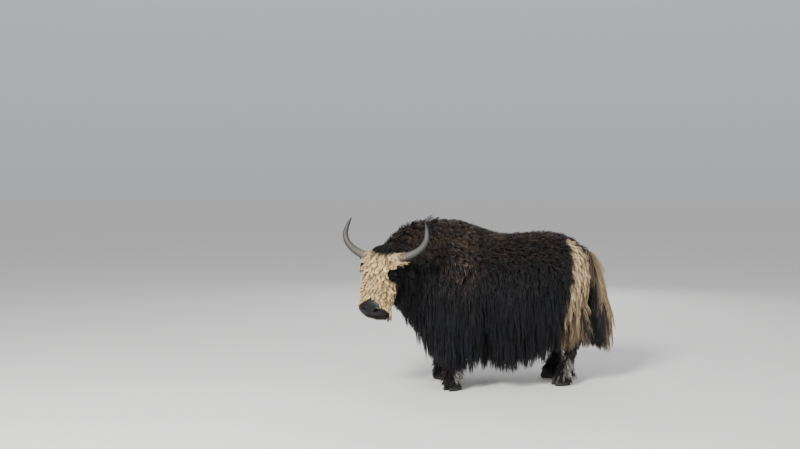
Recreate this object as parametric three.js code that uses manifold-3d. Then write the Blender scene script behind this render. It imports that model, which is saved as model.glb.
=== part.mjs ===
// A life-size domestic yak that stands on all four feet and looks round to its left.
// Millimetres, +Z up. The body lies along X with the head end at -X, and its left side is at -Y.
import * as THREE from "three";
import { mergeVertices } from "three/addons/utils/BufferGeometryUtils.js";
import Module from "manifold-3d";

const wasm = await Module();
wasm.setup();

// Driving sizes and places
const GAP = 0.3;
const MIDDLE = { x: -175, y: -35 };
const FEET = {
  fore: { x: -470, y: 221, toeOut: 36 },
  hind: { x: 473, y: 160, toeOut: 10 },
};
const POLL = { x: -1035, y: -250, z: 1149 };
const HEAD_TURN = { yaw: 51.2, nod: 58.1, tilt: -5.5 };
const EYE = { x: 182, y: 127, z: -40, radius: 21 };
const LIDS = { x: 182, y: 119, z: -40, long: 38, deep: 22, high: 28 };
const NOSTRIL = { x: 490, y: 50, z: -72, long: 18, wide: 14, high: 20 };
const MOUTH = { x: 436, z: -122, long: 112, wide: 160, half: 3.5 };
const MOUTH_BACK = { x: 300, long: 202, wide: 114, high: 20, squareness: 4 };
const EAR = { x: 24, y: 126, z: -66, length: 165, width: 42, thick: 8, cup: 18 };
const EAR_WAY = [0.6, 0.66, -0.44];
const CORONET = { height: 72, slope: 0.2 };
const DEWCLAW = { z: 120, back: 52, apart: 24, radii: [13, 11, 19] };

// Planes that part the trunk
const SHOULDER_CUT = -290;
const LOIN_CUT = 330;
const NECK_CUT = { x: -715, y: 0, z: 950, normal: [-0.96, -0.2, 0.16] };
const MUZZLE_CUT = { x: 428, z: -95, normal: [0.97, 0, 0.24] };

// Trunk: x, top, belly, half width, height of the widest place, fullness of the upper half
const TRUNK = [
  [-800, 1000, 1000, 0, 1000, 2],
  [-790, 1210, 795, 75, 1000, 1.9],
  [-745, 1352, 625, 160, 945, 1.7],
  [-660, 1388, 515, 238, 880, 1.6],
  [-550, 1396, 458, 288, 835, 1.6],
  [-420, 1388, 450, 322, 805, 1.6],
  [-290, 1350, 460, 344, 795, 1.7],
  [-150, 1290, 470, 358, 788, 1.9],
  [0, 1256, 476, 364, 785, 2.1],
  [160, 1260, 485, 362, 792, 2.15],
  [310, 1268, 502, 346, 810, 2.1],
  [440, 1265, 530, 320, 840, 2],
  [545, 1240, 568, 282, 872, 1.9],
  [630, 1196, 632, 228, 905, 1.9],
  [690, 1130, 735, 150, 940, 1.9],
  [716, 1040, 850, 70, 950, 2],
  [722, 950, 950, 0, 950, 2],
];
const BELLY_FULLNESS = 2.3;

// Neck: centre x, y, z, height over the centre, depth under it, half width
const NECK = [
  [-540, 0, 1000, 0, 0, 0],
  [-600, 0, 1000, 250, 330, 190],
  [-700, -8, 985, 382, 400, 205],
  [-795, -32, 985, 388, 345, 190],
  [-875, -82, 1005, 345, 262, 174],
  [-935, -145, 1030, 238, 205, 160],
  [-980, -195, 1045, 150, 165, 145],
  [-1006, -222, 1052, 70, 90, 75],
  [-1012, -230, 1053, 0, 0, 0],
];

// Head in its own frame, x down the face, y to its left, z out of the forehead:
// x, top, underside, half width, height of the widest place, fullness
const HEAD = [
  [-64, -80, -80, 0, -80, 2],
  [-56, -20, -138, 66, -80, 2.2],
  [-30, 18, -182, 120, -76, 2.5],
  [25, 31, -218, 142, -70, 2.7],
  [85, 31, -238, 147, -66, 2.7],
  [145, 22, -240, 143, -64, 2.7],
  [205, 10, -230, 134, -66, 2.7],
  [262, -3, -210, 124, -72, 2.6],
  [320, -13, -196, 116, -84, 2.5],
  [375, -22, -202, 113, -96, 2.4],
  [425, -30, -210, 121, -108, 2.4],
  [465, -40, -214, 128, -114, 2.5],
  [497, -60, -204, 111, -120, 2.5],
  [512, -88, -172, 72, -126, 2.3],
  [516, -126, -126, 0, -126, 2],
];

// Legs of the left side from the top down: z, x, y, half length, half width
const LEGS = {
  fore: [
    [640, -458, -190, 0, 0],
    [628, -458, -190, 58, 46],
    [550, -461, -193, 84, 62],
    [430, -474, -202, 68, 56],
    [345, -482, -207, 60, 55],
    [275, -479, -210, 47, 45],
    [195, -474, -214, 45, 44],
    [132, -472, -218, 57, 55],
    [98, -476, -222, 54, 53],
    [40, -483, -229, 52, 47],
    [30, -484, -230, 0, 0],
  ],
  hind: [
    [700, 566, -160, 0, 0],
    [688, 566, -160, 62, 44],
    [620, 578, -160, 98, 62],
    [510, 602, -160, 68, 50],
    [445, 598, -160, 61, 47],
    [385, 581, -160, 50, 43],
    [290, 549, -160, 43, 41],
    [195, 521, -160, 45, 43],
    [132, 504, -160, 57, 53],
    [98, 493, -161, 54, 52],
    [40, 478, -163, 52, 47],
    [30, 476, -163, 0, 0],
  ],
};

// One claw of a cloven foot: height, half length, outer half width, shift towards the toe
const CLAW = [
  [0, 70, 30, 8],
  [12, 73, 31, 8],
  [55, 61, 28, 0],
  [100, 44, 22, -12],
];
const CLAW_INNER = 24;
const CLAW_SPACING = 29;

// Left horn in the head's frame: x, y, z of its centre line, then its radius
const HORN = [
  [66, 92, -12, 30],
  [62, 150, 3, 35],
  [48, 205, 14, 34],
  [16, 276, 24, 30],
  [-31, 337, 44, 26],
  [-90, 365, 67, 22],
  [-151, 359, 88, 16],
  [-198, 344, 102, 9],
  [-226, 332, 109, 2],
];

// Bony part of the tail, and the core of its brush: x, y, z, radius
const TAIL_DOCK = [
  [650, 0, 1105, 36],
  [702, 0, 1110, 46],
  [748, 0, 1078, 46],
  [786, 0, 1010, 46],
  [814, 0, 890, 54],
  [842, 0, 760, 62],
  [854, 0, 620, 60],
  [856, 0, 500, 44],
  [852, 0, 420, 18],
];

// Hem of the long coat along the flank: x, z
const HEM = [
  [-740, 394],
  [-660, 245],
  [-560, 182],
  [-400, 168],
  [-276, 172],
  [-110, 138],
  [56, 150],
  [181, 180],
  [282, 220],
  [400, 270],
  [535, 310],
  [700, 360],
];

// Tiers of long hair on each flank, lowest first: root height, tip height over the hem
const FLANK_TIERS = [
  { root: 600, over: 0, from: -672, to: 628, count: 16, width: 102, thick: 26, lift: 16 },
  { root: 750, over: 95, from: -700, to: 640, count: 11, width: 128, thick: 28, lift: 40 },
  { root: 930, over: 330, from: -700, to: 630, count: 9, width: 140, thick: 30, lift: 34 },
  { root: 1100, over: 560, from: -680, to: -340, count: 3, width: 126, thick: 30, lift: 24 },
];

// A smooth value between the rows of a table, at a share t of its length
function smoothRow(rows, t) {
  const place = THREE.MathUtils.clamp(t, 0, 1) * (rows.length - 1);
  const i = Math.min(Math.floor(place), rows.length - 2);
  const f = place - i;
  const row = (k) => rows[THREE.MathUtils.clamp(k, 0, rows.length - 1)];
  return rows[i].map((_, c) => {
    const [a, b, d, e] = [row(i - 1)[c], row(i)[c], row(i + 1)[c], row(i + 2)[c]];
    return b + 0.5 * f * (d - a + f * (2 * a - 5 * b + 4 * d - e + f * (3 * (b - d) + e - a)));
  });
}

// Straight interpolation in a table of two columns
function straight(rows, x) {
  const after = rows.findIndex((row) => row[0] > x);
  const [[x0, v0], [x1, v1]] = [rows[after - 1], rows[after]];
  return THREE.MathUtils.mapLinear(x, x0, x1, v0, v1);
}

const bent = (value, fullness) => Math.sign(value) * Math.abs(value) ** (2 / fullness);
const mirrored = (rows) => rows.map(([x, y, ...rest]) => [x, -y, ...rest]);
const reversed = (normal) => normal.map((v) => -v);
const vector = (x, y, z) => new THREE.Vector3(x, y, z);
const DOWN = vector(0, 0, -1);
const OUTSIDE = 3000;

// The same draws on every run
function seeded(seed) {
  let state = seed;
  return () => {
    state = (state * 1664525 + 1013904223) >>> 0;
    return state / 2 ** 32;
  };
}
const draw = seeded(7);
const about = (spread) => (draw() * 2 - 1) * spread;

// A manifold from a closed three.js geometry, turned to face out
function solid(geometry) {
  const bare = new THREE.BufferGeometry();
  bare.setAttribute("position", geometry.attributes.position);
  bare.setIndex(geometry.index);
  const merged = mergeVertices(bare, 1e-3);
  const triVerts = new Uint32Array(merged.index.array);
  const vertProperties = merged.attributes.position.array;
  const build = () => new wasm.Manifold(new wasm.Mesh({ numProp: 3, vertProperties, triVerts }));
  const made = build();
  if (made.volume() > 0) return made;
  for (let i = 0; i < triVerts.length; i += 3) {
    [triVerts[i + 1], triVerts[i + 2]] = [triVerts[i + 2], triVerts[i + 1]];
  }
  return build();
}

// A closed solid from a sphere whose points move to place(t, angle), from pole to pole
function shaped(around, along, place) {
  const geometry = new THREE.SphereGeometry(1, around, along);
  const points = geometry.attributes.position;
  const p = vector(0, 0, 0);
  for (let i = 0; i < points.count; i++) {
    p.fromBufferAttribute(points, i);
    const row = Math.round((Math.acos(THREE.MathUtils.clamp(p.y, -1, 1)) / Math.PI) * along);
    points.setXYZ(i, ...place(row / along, Math.atan2(p.z, p.x), row).toArray());
  }
  return solid(geometry);
}

function geometryOf(manifold) {
  const { vertProperties, triVerts, numProp, numVert } = manifold.getMesh();
  const position = new Float32Array(numVert * 3);
  for (let i = 0; i < numVert; i++) {
    position.set(vertProperties.subarray(i * numProp, i * numProp + 3), i * 3);
  }
  const geometry = new THREE.BufferGeometry();
  geometry.setAttribute("position", new THREE.BufferAttribute(position, 3));
  geometry.setIndex(new THREE.BufferAttribute(triVerts, 1));
  geometry.computeVertexNormals();
  return geometry;
}

const joined = (solids) => wasm.Manifold.union(solids);
const cut = (manifold, tools) => manifold.subtract(joined(tools));

function largest(manifold) {
  return manifold.decompose().reduce((a, b) => (b.volume() > a.volume() ? b : a));
}

// What lies on the side of a plane that its normal points to
function trimmed(manifold, at, normal) {
  const n = vector(...normal).normalize();
  const offset = n.dot(vector(at.x ?? 0, at.y ?? 0, at.z ?? 0)) + GAP / 2;
  return manifold.trimByPlane(n.toArray(), offset);
}

function ellipsoid(centre, radii, around = 14, along = 8) {
  return shaped(around, along, (t, angle) => {
    const r = Math.sin(Math.PI * t);
    return vector(
      centre[0] + radii[0] * r * Math.cos(angle),
      centre[1] + radii[1] * Math.cos(Math.PI * t),
      centre[2] + radii[2] * r * Math.sin(angle),
    );
  });
}

// A round piece along a centre line whose rows end with the radius
function spindle(rows, around, along, grow = 0) {
  const line = new THREE.CatmullRomCurve3(rows.map(([x, y, z]) => vector(x, y, z)));
  return shaped(around, along, (t, angle, row) => {
    const end = row === 0 ? -1 : row === along ? 1 : 0;
    const inner = THREE.MathUtils.clamp((row - 1) / (along - 2), 0, 1);
    const radius = end ? 0 : smoothRow(rows, inner).at(-1) + grow;
    const way = line.getTangent(inner);
    const side = vector(0.3, 0.5, 1).cross(way).normalize();
    const up = way.clone().cross(side);
    return line
      .getPoint(inner)
      .addScaledVector(way, end * (grow + 1))
      .addScaledVector(side, radius * Math.cos(angle))
      .addScaledVector(up, radius * Math.sin(angle));
  });
}

// A surface that hair grows from
class Hide {
  constructor(manifold) {
    const geometry = geometryOf(manifold);
    const { position } = geometry.attributes;
    const material = new THREE.MeshBasicMaterial({ side: THREE.DoubleSide });
    this.mesh = new THREE.Mesh(geometry, material);
    this.faces = [];
    for (let i = 0; i < geometry.index.count; i += 3) {
      const corners = [0, 1, 2].map((k) => geometry.index.getX(i + k));
      const [a, b, c] = corners.map((k) => vector(0, 0, 0).fromBufferAttribute(position, k));
      const face = new THREE.Triangle(a, b, c);
      const middle = face.getMidpoint(vector(0, 0, 0));
      const reach = Math.max(...[a, b, c].map((p) => p.distanceTo(middle)));
      this.faces.push({ face, middle, reach, normal: face.getNormal(vector(0, 0, 0)) });
    }
  }

  // Where a line from a point first meets the surface, with the way out there
  meet(from, towards) {
    const caster = new THREE.Raycaster(from, towards.clone().normalize());
    const [hit] = caster.intersectObject(this.mesh);
    return hit && { point: hit.point, out: hit.face.normal.clone() };
  }

  // The point, moved out until it is at least a distance off the surface
  clear(point, distance) {
    let best = Infinity;
    let nearest = null;
    const spot = vector(0, 0, 0);
    for (const { face, middle, reach, normal } of this.faces) {
      if (point.distanceTo(middle) - reach > best) continue;
      face.closestPointToPoint(point, spot);
      const apart = spot.distanceTo(point);
      if (apart < best) {
        best = apart;
        nearest = { spot: spot.clone(), normal };
      }
    }
    const height = best * Math.sign(point.clone().sub(nearest.spot).dot(nearest.normal));
    return height < distance ? nearest.spot.addScaledVector(nearest.normal, distance) : point;
  }
}

// Long hair: flat locks that taper, bend with their own weight and lie along the hide
const LOCK_SWELL = [0, 0.72, 1, 0.76, 0];
const LOCK_STEPS = LOCK_SWELL.length - 1;

function lock(hide, root, lie, size, weight = 0.5, down = DOWN) {
  const step = size.length / (LOCK_STEPS - 1);
  const heading = lie.clone().normalize();
  const sink = size.sink ?? 34;
  const path = [
    root.point.clone().addScaledVector(root.out, -sink),
    root.point.clone().addScaledVector(root.out, 0.2 * size.thick),
  ];
  for (let i = 2; i <= LOCK_STEPS; i++) {
    heading.addScaledVector(down, weight).normalize();
    const next = path[i - 1].clone().addScaledVector(heading, step);
    path.push(i < LOCK_STEPS ? hide.clear(next, size.lift ?? 0.55 * size.thick) : next);
  }
  return { path, out: root.out, width: size.width, thick: size.thick };
}

function strand({ path, out, width, thick }, grow = 0) {
  return shaped(4, LOCK_STEPS, (t, angle, row) => {
    const before = path[Math.max(row - 1, 0)];
    const after = path[Math.min(row + 1, LOCK_STEPS)];
    const way = after.clone().sub(before).normalize();
    const across = way.clone().cross(out).normalize();
    const flat = across.clone().cross(way);
    const end = row === 0 ? -1 : row === LOCK_STEPS ? 1 : 0;
    const swell = LOCK_SWELL[row];
    return path[row]
      .clone()
      .addScaledVector(way, end * grow * 4)
      .addScaledVector(across, end ? 0 : ((width / 2) * swell + 2 * grow) * Math.cos(angle))
      .addScaledVector(flat, end ? 0 : ((thick / 2) * swell + 1.2 * grow) * Math.sin(angle));
  });
}

const strands = (locks, grow = 0) => locks.map((one) => strand(one, grow));
const spreadOver = ({ spread, count }, i) => spread * ((2 * i) / (count - 1) - 1);

// Trunk
function trunk() {
  return shaped(22, 20, (t, angle) => {
    const [x, top, belly, width, widest, fullness] = smoothRow(TRUNK, t);
    const s = Math.sin(angle);
    const n = s > 0 ? fullness : BELLY_FULLNESS;
    const reach = s > 0 ? top - widest : widest - belly;
    return vector(x, Math.max(width, 0) * bent(Math.cos(angle), n), widest + reach * bent(s, n));
  });
}

// Neck
function neck() {
  const line = new THREE.CatmullRomCurve3(NECK.map(([x, y, z]) => vector(x, y, z)));
  return shaped(16, 10, (t, angle) => {
    const [, , , over, under, width] = smoothRow(NECK, t);
    const way = line.getTangent(t);
    const left = vector(0, 0, 1).cross(way).normalize();
    const up = way.clone().cross(left);
    const s = Math.sin(angle);
    return line
      .getPoint(t)
      .addScaledVector(left, Math.max(width, 0) * Math.cos(angle))
      .addScaledVector(up, Math.max(s > 0 ? over : under, 0) * s);
  });
}

// The head's own frame, turned into place
const headFrame = new THREE.Matrix4().makeTranslation(POLL.x, POLL.y, POLL.z);
for (const [axis, degrees] of [
  [vector(0, 0, 1), 180 + HEAD_TURN.yaw],
  [vector(0, 1, 0), HEAD_TURN.nod],
  [vector(1, 0, 0), HEAD_TURN.tilt],
]) {
  const radians = THREE.MathUtils.degToRad(degrees);
  headFrame.multiply(new THREE.Matrix4().makeRotationAxis(axis, radians));
}
const inHead = (manifold) => manifold.transform(headFrame.elements);
const DOWN_IN_HEAD = DOWN.clone().transformDirection(headFrame.clone().invert());

function headShape(grow = 0) {
  return shaped(20, 18, (t, angle) => {
    const [x, top, under, width, widest, n] = smoothRow(HEAD, t);
    const s = Math.sin(angle);
    const swell = width > 1 ? grow : 0;
    const reach = Math.max(s > 0 ? top - widest : widest - under, 0) + swell;
    const end = t === 0 ? -grow : t === 1 ? grow : 0;
    return vector(
      x + end,
      Math.max(width + swell, 0) * bent(Math.cos(angle), n),
      widest + reach * bent(s, n),
    );
  });
}

function eyeball(side, grow = 0) {
  const r = EYE.radius + grow;
  return ellipsoid([EYE.x, side * EYE.y, EYE.z], [r, r, r], 10, 6);
}

function horn(side, grow = 0) {
  return inHead(spindle(side > 0 ? HORN : mirrored(HORN), 10, 12, grow));
}

// An ear: a leaf, cupped to the front
function ear(side, grow = 0) {
  const out = vector(EAR_WAY[0], side * EAR_WAY[1], EAR_WAY[2]).normalize();
  const front = vector(0.6, 0, 0.8);
  front.addScaledVector(out, -front.dot(out)).normalize();
  const across = out.clone().cross(front);
  return inHead(
    shaped(10, 8, (t, angle, row) => {
      const end = row === 0 ? -1 : row === 8 ? 1 : 0;
      const root = vector(EAR.x, side * EAR.y, EAR.z);
      root.addScaledVector(out, EAR.length * t + end * grow);
      if (end) return root;
      const width = EAR.width * Math.sin(Math.PI * t) ** 0.6 * (1 - 0.25 * t);
      const x = (width + grow) * Math.cos(angle);
      const cup = EAR.cup * Math.sin(Math.PI * t) * (x / width) ** 2;
      const thick = (EAR.thick + 1.5 * grow) * Math.sin(angle);
      return root.addScaledVector(across, x).addScaledVector(front, cup + thick);
    }),
  );
}

// Hair of the head: wavy locks down the face, a tuft on the poll and a beard along the jaw
const FACE_ROWS = [
  { x: 14, reach: 104, count: 4 },
  { x: 92, reach: 78, count: 4 },
  { x: 172, reach: 66, count: 3 },
  { x: 248, reach: 52, count: 2 },
];
const POLL_TUFT = { x: -36, spread: 99, count: 4 };
const CHEEK_ROOTS = [[262, -80], [230, -150]];
const BEARD_ROOTS = [[315, 66], [375, 66]];
const FACE_LOCK = { length: 100, width: 56, thick: 20, lift: 12, sink: 14 };
const POLL_LOCK = { length: 84, width: 80, thick: 26, lift: 14, sink: 20 };
const CHEEK_LOCK = { length: 120, width: 62, thick: 24, lift: 14, sink: 16 };
const BEARD_LOCK = { length: 150, width: 56, thick: 24, lift: 14, sink: 16 };

function headLocks(hide) {
  const locks = [];
  const grow = (from, towards, lie, size, weight) => {
    const root = hide.meet(from, towards);
    if (root) locks.push(lock(hide, root, lie, size, weight, DOWN_IN_HEAD));
  };
  for (const { x, reach, count } of FACE_ROWS) {
    for (let i = 0; i < count; i++) {
      const y = spreadOver({ spread: reach, count }, i) + about(5);
      const lie = vector(1, y / 300 + about(0.35), 0.15);
      grow(vector(x + about(8), y, OUTSIDE), vector(0, 0, -1), lie, FACE_LOCK, 0.12);
    }
  }
  for (let i = 0; i < POLL_TUFT.count; i++) {
    const y = spreadOver(POLL_TUFT, i) + about(6);
    const from = vector(POLL_TUFT.x + about(6), y, OUTSIDE);
    grow(from, vector(0, 0, -1), vector(0.5, y / 260, 0.9), POLL_LOCK, 0.35);
  }
  for (const side of [-1, 1]) {
    for (const [x, z] of CHEEK_ROOTS) {
      const lie = vector(0.9, side * 0.25, -0.1);
      grow(vector(x, side * OUTSIDE, z), vector(0, -side, 0), lie, CHEEK_LOCK, 0.3);
    }
    for (const [x, y] of BEARD_ROOTS) {
      const lie = vector(0.2, side * 0.5, -0.9);
      grow(vector(x, side * y, -OUTSIDE), vector(0, 0, 1), lie, BEARD_LOCK, 0.7);
    }
  }
  return locks;
}

// Hair of the trunk and neck
function flankLocks(hide) {
  const locks = [];
  for (const side of [-1, 1]) {
    for (const tier of FLANK_TIERS) {
      for (let i = 0; i < tier.count; i++) {
        const x = tier.from + ((tier.to - tier.from) * i) / (tier.count - 1) + about(10);
        const z = tier.root + about(18);
        const root = hide.meet(vector(x, side * OUTSIDE, z), vector(0, -side, 0));
        if (!root) continue;
        const length = z - straight(HEM, x) - tier.over + about(18);
        const size = { ...tier, length: length * 1.01, width: tier.width + about(12) };
        const lie = vector(0.1 + about(0.07), side * 0.16, -1);
        locks.push(lock(hide, root, lie, size, 0.35));
      }
    }
  }
  return locks;
}

// Places under the belly where short curtains hang
const BELLY = { from: -390, step: 230, count: 4, across: 150 };
const BELLY_LOCK = { share: 0.55, width: 120, thick: 40 };

function bellyLocks(hide) {
  const locks = [];
  for (const y of [-BELLY.across, BELLY.across]) {
    for (let i = 0; i < BELLY.count; i++) {
      const x = BELLY.from + BELLY.step * i + about(20);
      const root = hide.meet(vector(x, y, 0), vector(0, 0, 1));
      const length = BELLY_LOCK.share * (root.point.z - straight(HEM, x));
      const size = { ...BELLY_LOCK, length };
      locks.push(lock(hide, root, vector(0.1, y / 900, -1), size, 0.4));
    }
  }
  return locks;
}

// Rows across the rear face of the thighs
const REAR_ROWS = [
  { z: 980, spread: 190, tip: 590, count: 4 },
  { z: 790, spread: 210, tip: 370, count: 4 },
];
const REAR_LOCK = { width: 112, thick: 28, lift: 16 };

function rearLocks(hide) {
  const locks = [];
  for (const row of REAR_ROWS) {
    for (let i = 0; i < row.count; i++) {
      const y = spreadOver(row, i) + about(8);
      const root = hide.meet(vector(OUTSIDE, y, row.z + about(12)), vector(-1, 0, 0));
      if (!root) continue;
      const size = { ...REAR_LOCK, length: row.z - row.tip + about(20) };
      locks.push(lock(hide, root, vector(0.05, y / 900, -1), size, 0.6));
    }
  }
  return locks;
}

// Places along the throat and chest where a curtain hangs: x, y, tip height
const DEWLAP = [
  [-935, -150, 745],
  [-850, -75, 540],
  [-765, -22, 460],
  [-680, 0, 410],
];
const DEWLAP_LOCK = { shortest: 90, apart: 62, width: 104, thick: 34 };

// Rows down each side of the neck: height over its centre line, lock length
const NECK_ROWS = [
  [240, 280],
  [60, 300],
  [-110, 260],
];
const NECK_LOCK = { width: 124, thick: 32, lift: 18 };
// Shares of the neck's length where those rows start, and the size of the locks there
const NECK_PLACES = [
  { t: 0.38, scale: 1 },
  { t: 0.55, scale: 0.85 },
];
const NECK_CLEAR = 700;

function neckLocks(hide) {
  const locks = [];
  for (const [x, y, tip] of DEWLAP) {
    for (const across of [-DEWLAP_LOCK.apart, DEWLAP_LOCK.apart]) {
      const spot = vector(x - 0.35 * across, y + across, 0);
      const root = hide.meet(spot, vector(0, 0, 1));
      if (!root) continue;
      const length = Math.max(root.point.z - tip, DEWLAP_LOCK.shortest);
      const size = { ...DEWLAP_LOCK, length };
      locks.push(lock(hide, root, vector(0.12, across / 600, -1), size, 0.4));
    }
  }
  // Both sides of the neck, from the crest down
  const line = new THREE.CatmullRomCurve3(NECK.map(([x, y, z]) => vector(x, y, z)));
  for (const side of [-1, 1]) {
    for (const { t, scale } of NECK_PLACES) {
      const way = line.getTangent(t);
      const out = vector(0, 0, 1).cross(way).normalize().multiplyScalar(-side);
      for (const [height, length] of NECK_ROWS) {
        const from = line.getPoint(t).addScaledVector(out, NECK_CLEAR);
        from.z += height * scale + about(16);
        const root = hide.meet(from, out.clone().negate());
        if (!root) continue;
        const lie = vector(0.25, 0, -1).addScaledVector(out, 0.25);
        const size = { ...NECK_LOCK, length: length * scale + about(20) };
        locks.push(lock(hide, root, lie, size, 0.4));
      }
    }
  }
  return locks;
}

// Tufts along the crest of the neck and the hump: x, y of each
const CREST = [
  [-930, -140],
  [-842, -56],
  [-742, -12],
  [-635, 0],
  [-520, 0],
];
const CREST_APART = { x: 20, y: 28 };
const CREST_LOCK = { length: 165, width: 116, thick: 34, lift: 12, sink: 30 };

function crestLocks(hide) {
  const locks = [];
  for (const [x, y] of CREST) {
    for (const side of [-1, 1]) {
      const from = vector(x + CREST_APART.x * side, y + CREST_APART.y * side, OUTSIDE);
      const root = hide.meet(from, vector(0, 0, -1));
      if (!root) continue;
      const lie = vector(0.7 + about(0.15), side * 0.7, 0.1);
      locks.push(lock(hide, root, lie, CREST_LOCK, 0.5));
    }
  }
  return locks;
}

// Tail: rings of locks down the dock, each with its height, count, length and spread
const TAIL_RINGS = [
  { z: 1070, count: 5, length: 520, lean: 0.45, turn: 0.5 },
  { z: 880, count: 6, length: 520, lean: 0.34, turn: 0 },
  { z: 680, count: 6, length: 420, lean: 0.28, turn: 0.5 },
];
const TAIL_LOCK = { width: 104, thick: 34, lift: 20, sink: 24 };

function tailLocks(hide) {
  const locks = [];
  const line = new THREE.CatmullRomCurve3(TAIL_DOCK.map(([x, y, z]) => vector(x, y, z)));
  const points = line.getPoints(60);
  for (const { z, count, length, lean, turn } of TAIL_RINGS) {
    const middle = points.reduce((a, b) => (Math.abs(b.z - z) < Math.abs(a.z - z) ? b : a));
    for (let i = 0; i < count; i++) {
      const angle = (2 * Math.PI * (i + turn)) / count;
      const out = vector(Math.cos(angle), Math.sin(angle), 0);
      const root = hide.meet(middle.clone().addScaledVector(out, 300), out.clone().negate());
      if (!root || (z > 1000 && out.x < -0.2)) continue;
      const back = out.x < 0 ? 0.35 : 1;
      const lie = vector(0, 0, -1).addScaledVector(out, lean * back);
      const size = { ...TAIL_LOCK, length: length + about(20) };
      locks.push(lock(hide, root, lie, size, 0.16));
    }
  }
  return locks;
}

// A leg; side is -1 for the left
function leg(end, side, grow = 0) {
  const rows = LEGS[end];
  const last = rows.length - 1;
  const limb = shaped(10, last, (t, angle, row) => {
    const [z, x, y, long, wide] = rows[row];
    const tip = row === 0 ? grow : row === last ? -grow : 0;
    const swell = long > 0 ? grow : 0;
    const across = y + (wide + swell) * Math.sin(angle);
    return vector(x + (long + swell) * Math.cos(angle), -side * across, z + tip);
  });
  const fetlock = rows.find(([z]) => z < 140);
  const dewclaws = [-1, 1].map((half) => {
    const y = -side * fetlock[2] + half * DEWCLAW.apart;
    return ellipsoid([fetlock[1] + DEWCLAW.back, y, DEWCLAW.z], DEWCLAW.radii, 6, 4);
  });
  return grow ? limb : joined([limb, ...dewclaws]);
}

// The slanted plane where hair ends and horn begins on a foot
function coronet(end, side) {
  const { x, y, toeOut } = FEET[end];
  const turn = THREE.MathUtils.degToRad(toeOut);
  const lean = CORONET.slope;
  const normal = [lean * Math.cos(turn), -side * lean * Math.sin(turn), 1];
  return { at: { x, y: side * y, z: CORONET.height }, normal };
}

// One claw; half is +1 for the outer one
function claw(end, side, half) {
  const foot = FEET[end];
  const steps = CLAW.length - 1;
  const shape = new THREE.CylinderGeometry(1, 1, 1, 8, steps);
  const points = shape.attributes.position;
  const turn = THREE.MathUtils.degToRad(foot.toeOut);
  for (let i = 0; i < points.count; i++) {
    const [z, long, outer, shift] = CLAW[Math.round((points.getY(i) + 0.5) * steps)];
    const u = shift + long * points.getX(i);
    const v = half * (CLAW_SPACING + points.getZ(i) * (points.getZ(i) > 0 ? outer : CLAW_INNER));
    const x = foot.x - u * Math.cos(turn) + v * Math.sin(turn);
    const y = foot.y + u * Math.sin(turn) + v * Math.cos(turn);
    points.setXYZ(i, x, side * y, z);
  }
  const plane = coronet(end, side);
  return trimmed(solid(shape), plane.at, reversed(plane.normal));
}

// Materials
const finish = (color, roughness) => new THREE.MeshStandardMaterial({ color, roughness });
const MATERIALS = {
  darkCoat: finish(0x1d1714, 0.85),
  paleCoat: finish(0xcdb48c, 0.85),
  tailCoat: finish(0x6b5138, 0.85),
  muzzleSkin: finish(0x26262a, 0.45),
  hornSheath: finish(0x8d8679, 0.4),
  hoof: finish(0x2b2826, 0.55),
  eye: finish(0x0d0a08, 0.08),
};

const yak = new THREE.Group();

function place(name, manifold, material) {
  const mesh = new THREE.Mesh(geometryOf(largest(manifold)), material);
  mesh.name = name;
  yak.add(mesh);
}

// Head, muzzle, eyes, ears and horns. In the head's frame the animal's left is at +y
const HEAD_SIDES = { left: 1, right: -1 };
const bothSides = [1, -1];
const hairOfHead = headLocks(new Hide(headShape()));
const lids = bothSides.map((side) =>
  ellipsoid([LIDS.x, side * LIDS.y, LIDS.z], [LIDS.long, LIDS.deep, LIDS.high], 10, 6),
);
const nostrils = bothSides.map((side) => {
  const radii = [NOSTRIL.long, NOSTRIL.wide, NOSTRIL.high];
  return ellipsoid([NOSTRIL.x, side * NOSTRIL.y, NOSTRIL.z], radii, 8, 5);
});
const slit = ellipsoid([MOUTH.x, 0, MOUTH.z], [MOUTH.long, MOUTH.wide, MOUTH.half], 12, 6);
const backOfMouth = shaped(12, 4, (t, angle) => {
  const [c, s] = [Math.cos(angle), Math.sin(angle)].map((v) => bent(v, MOUTH_BACK.squareness));
  const reach = t > 0 && t < 1 ? 1 : 0;
  const x = MOUTH_BACK.x + MOUTH_BACK.long * reach * c;
  return vector(x, MOUTH_BACK.wide * reach * s, MOUTH.z + MOUTH_BACK.high * (2 * t - 1));
});
const mouthLine = slit.subtract(backOfMouth);
const sockets = bothSides.map((side) => eyeball(side, GAP));
const wholeHead = cut(joined([headShape(), ...lids, ...strands(hairOfHead)]), [
  ...sockets,
  ...nostrils,
  mouthLine,
]);
const hornAndEarTools = bothSides.flatMap((side) => [horn(side, GAP), ear(side, 2 * GAP)]);
const skull = inHead(trimmed(wholeHead, MUZZLE_CUT, reversed(MUZZLE_CUT.normal)));
place("head", cut(skull, hornAndEarTools), MATERIALS.paleCoat);
place("muzzle", inHead(trimmed(wholeHead, MUZZLE_CUT, MUZZLE_CUT.normal)), MATERIALS.muzzleSkin);
for (const [name, side] of Object.entries(HEAD_SIDES)) {
  place("eye_" + name, inHead(eyeball(side)), MATERIALS.eye);
  place("horn_" + name, horn(side), MATERIALS.hornSheath);
  place("ear_" + name, ear(side).subtract(horn(side, GAP)), MATERIALS.darkCoat);
}

// Tail
const tailCore = spindle(TAIL_DOCK, 10, 10);
const hairOfTail = tailLocks(new Hide(tailCore));
place("tail", joined([tailCore, ...strands(hairOfTail)]), MATERIALS.tailCoat);

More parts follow.
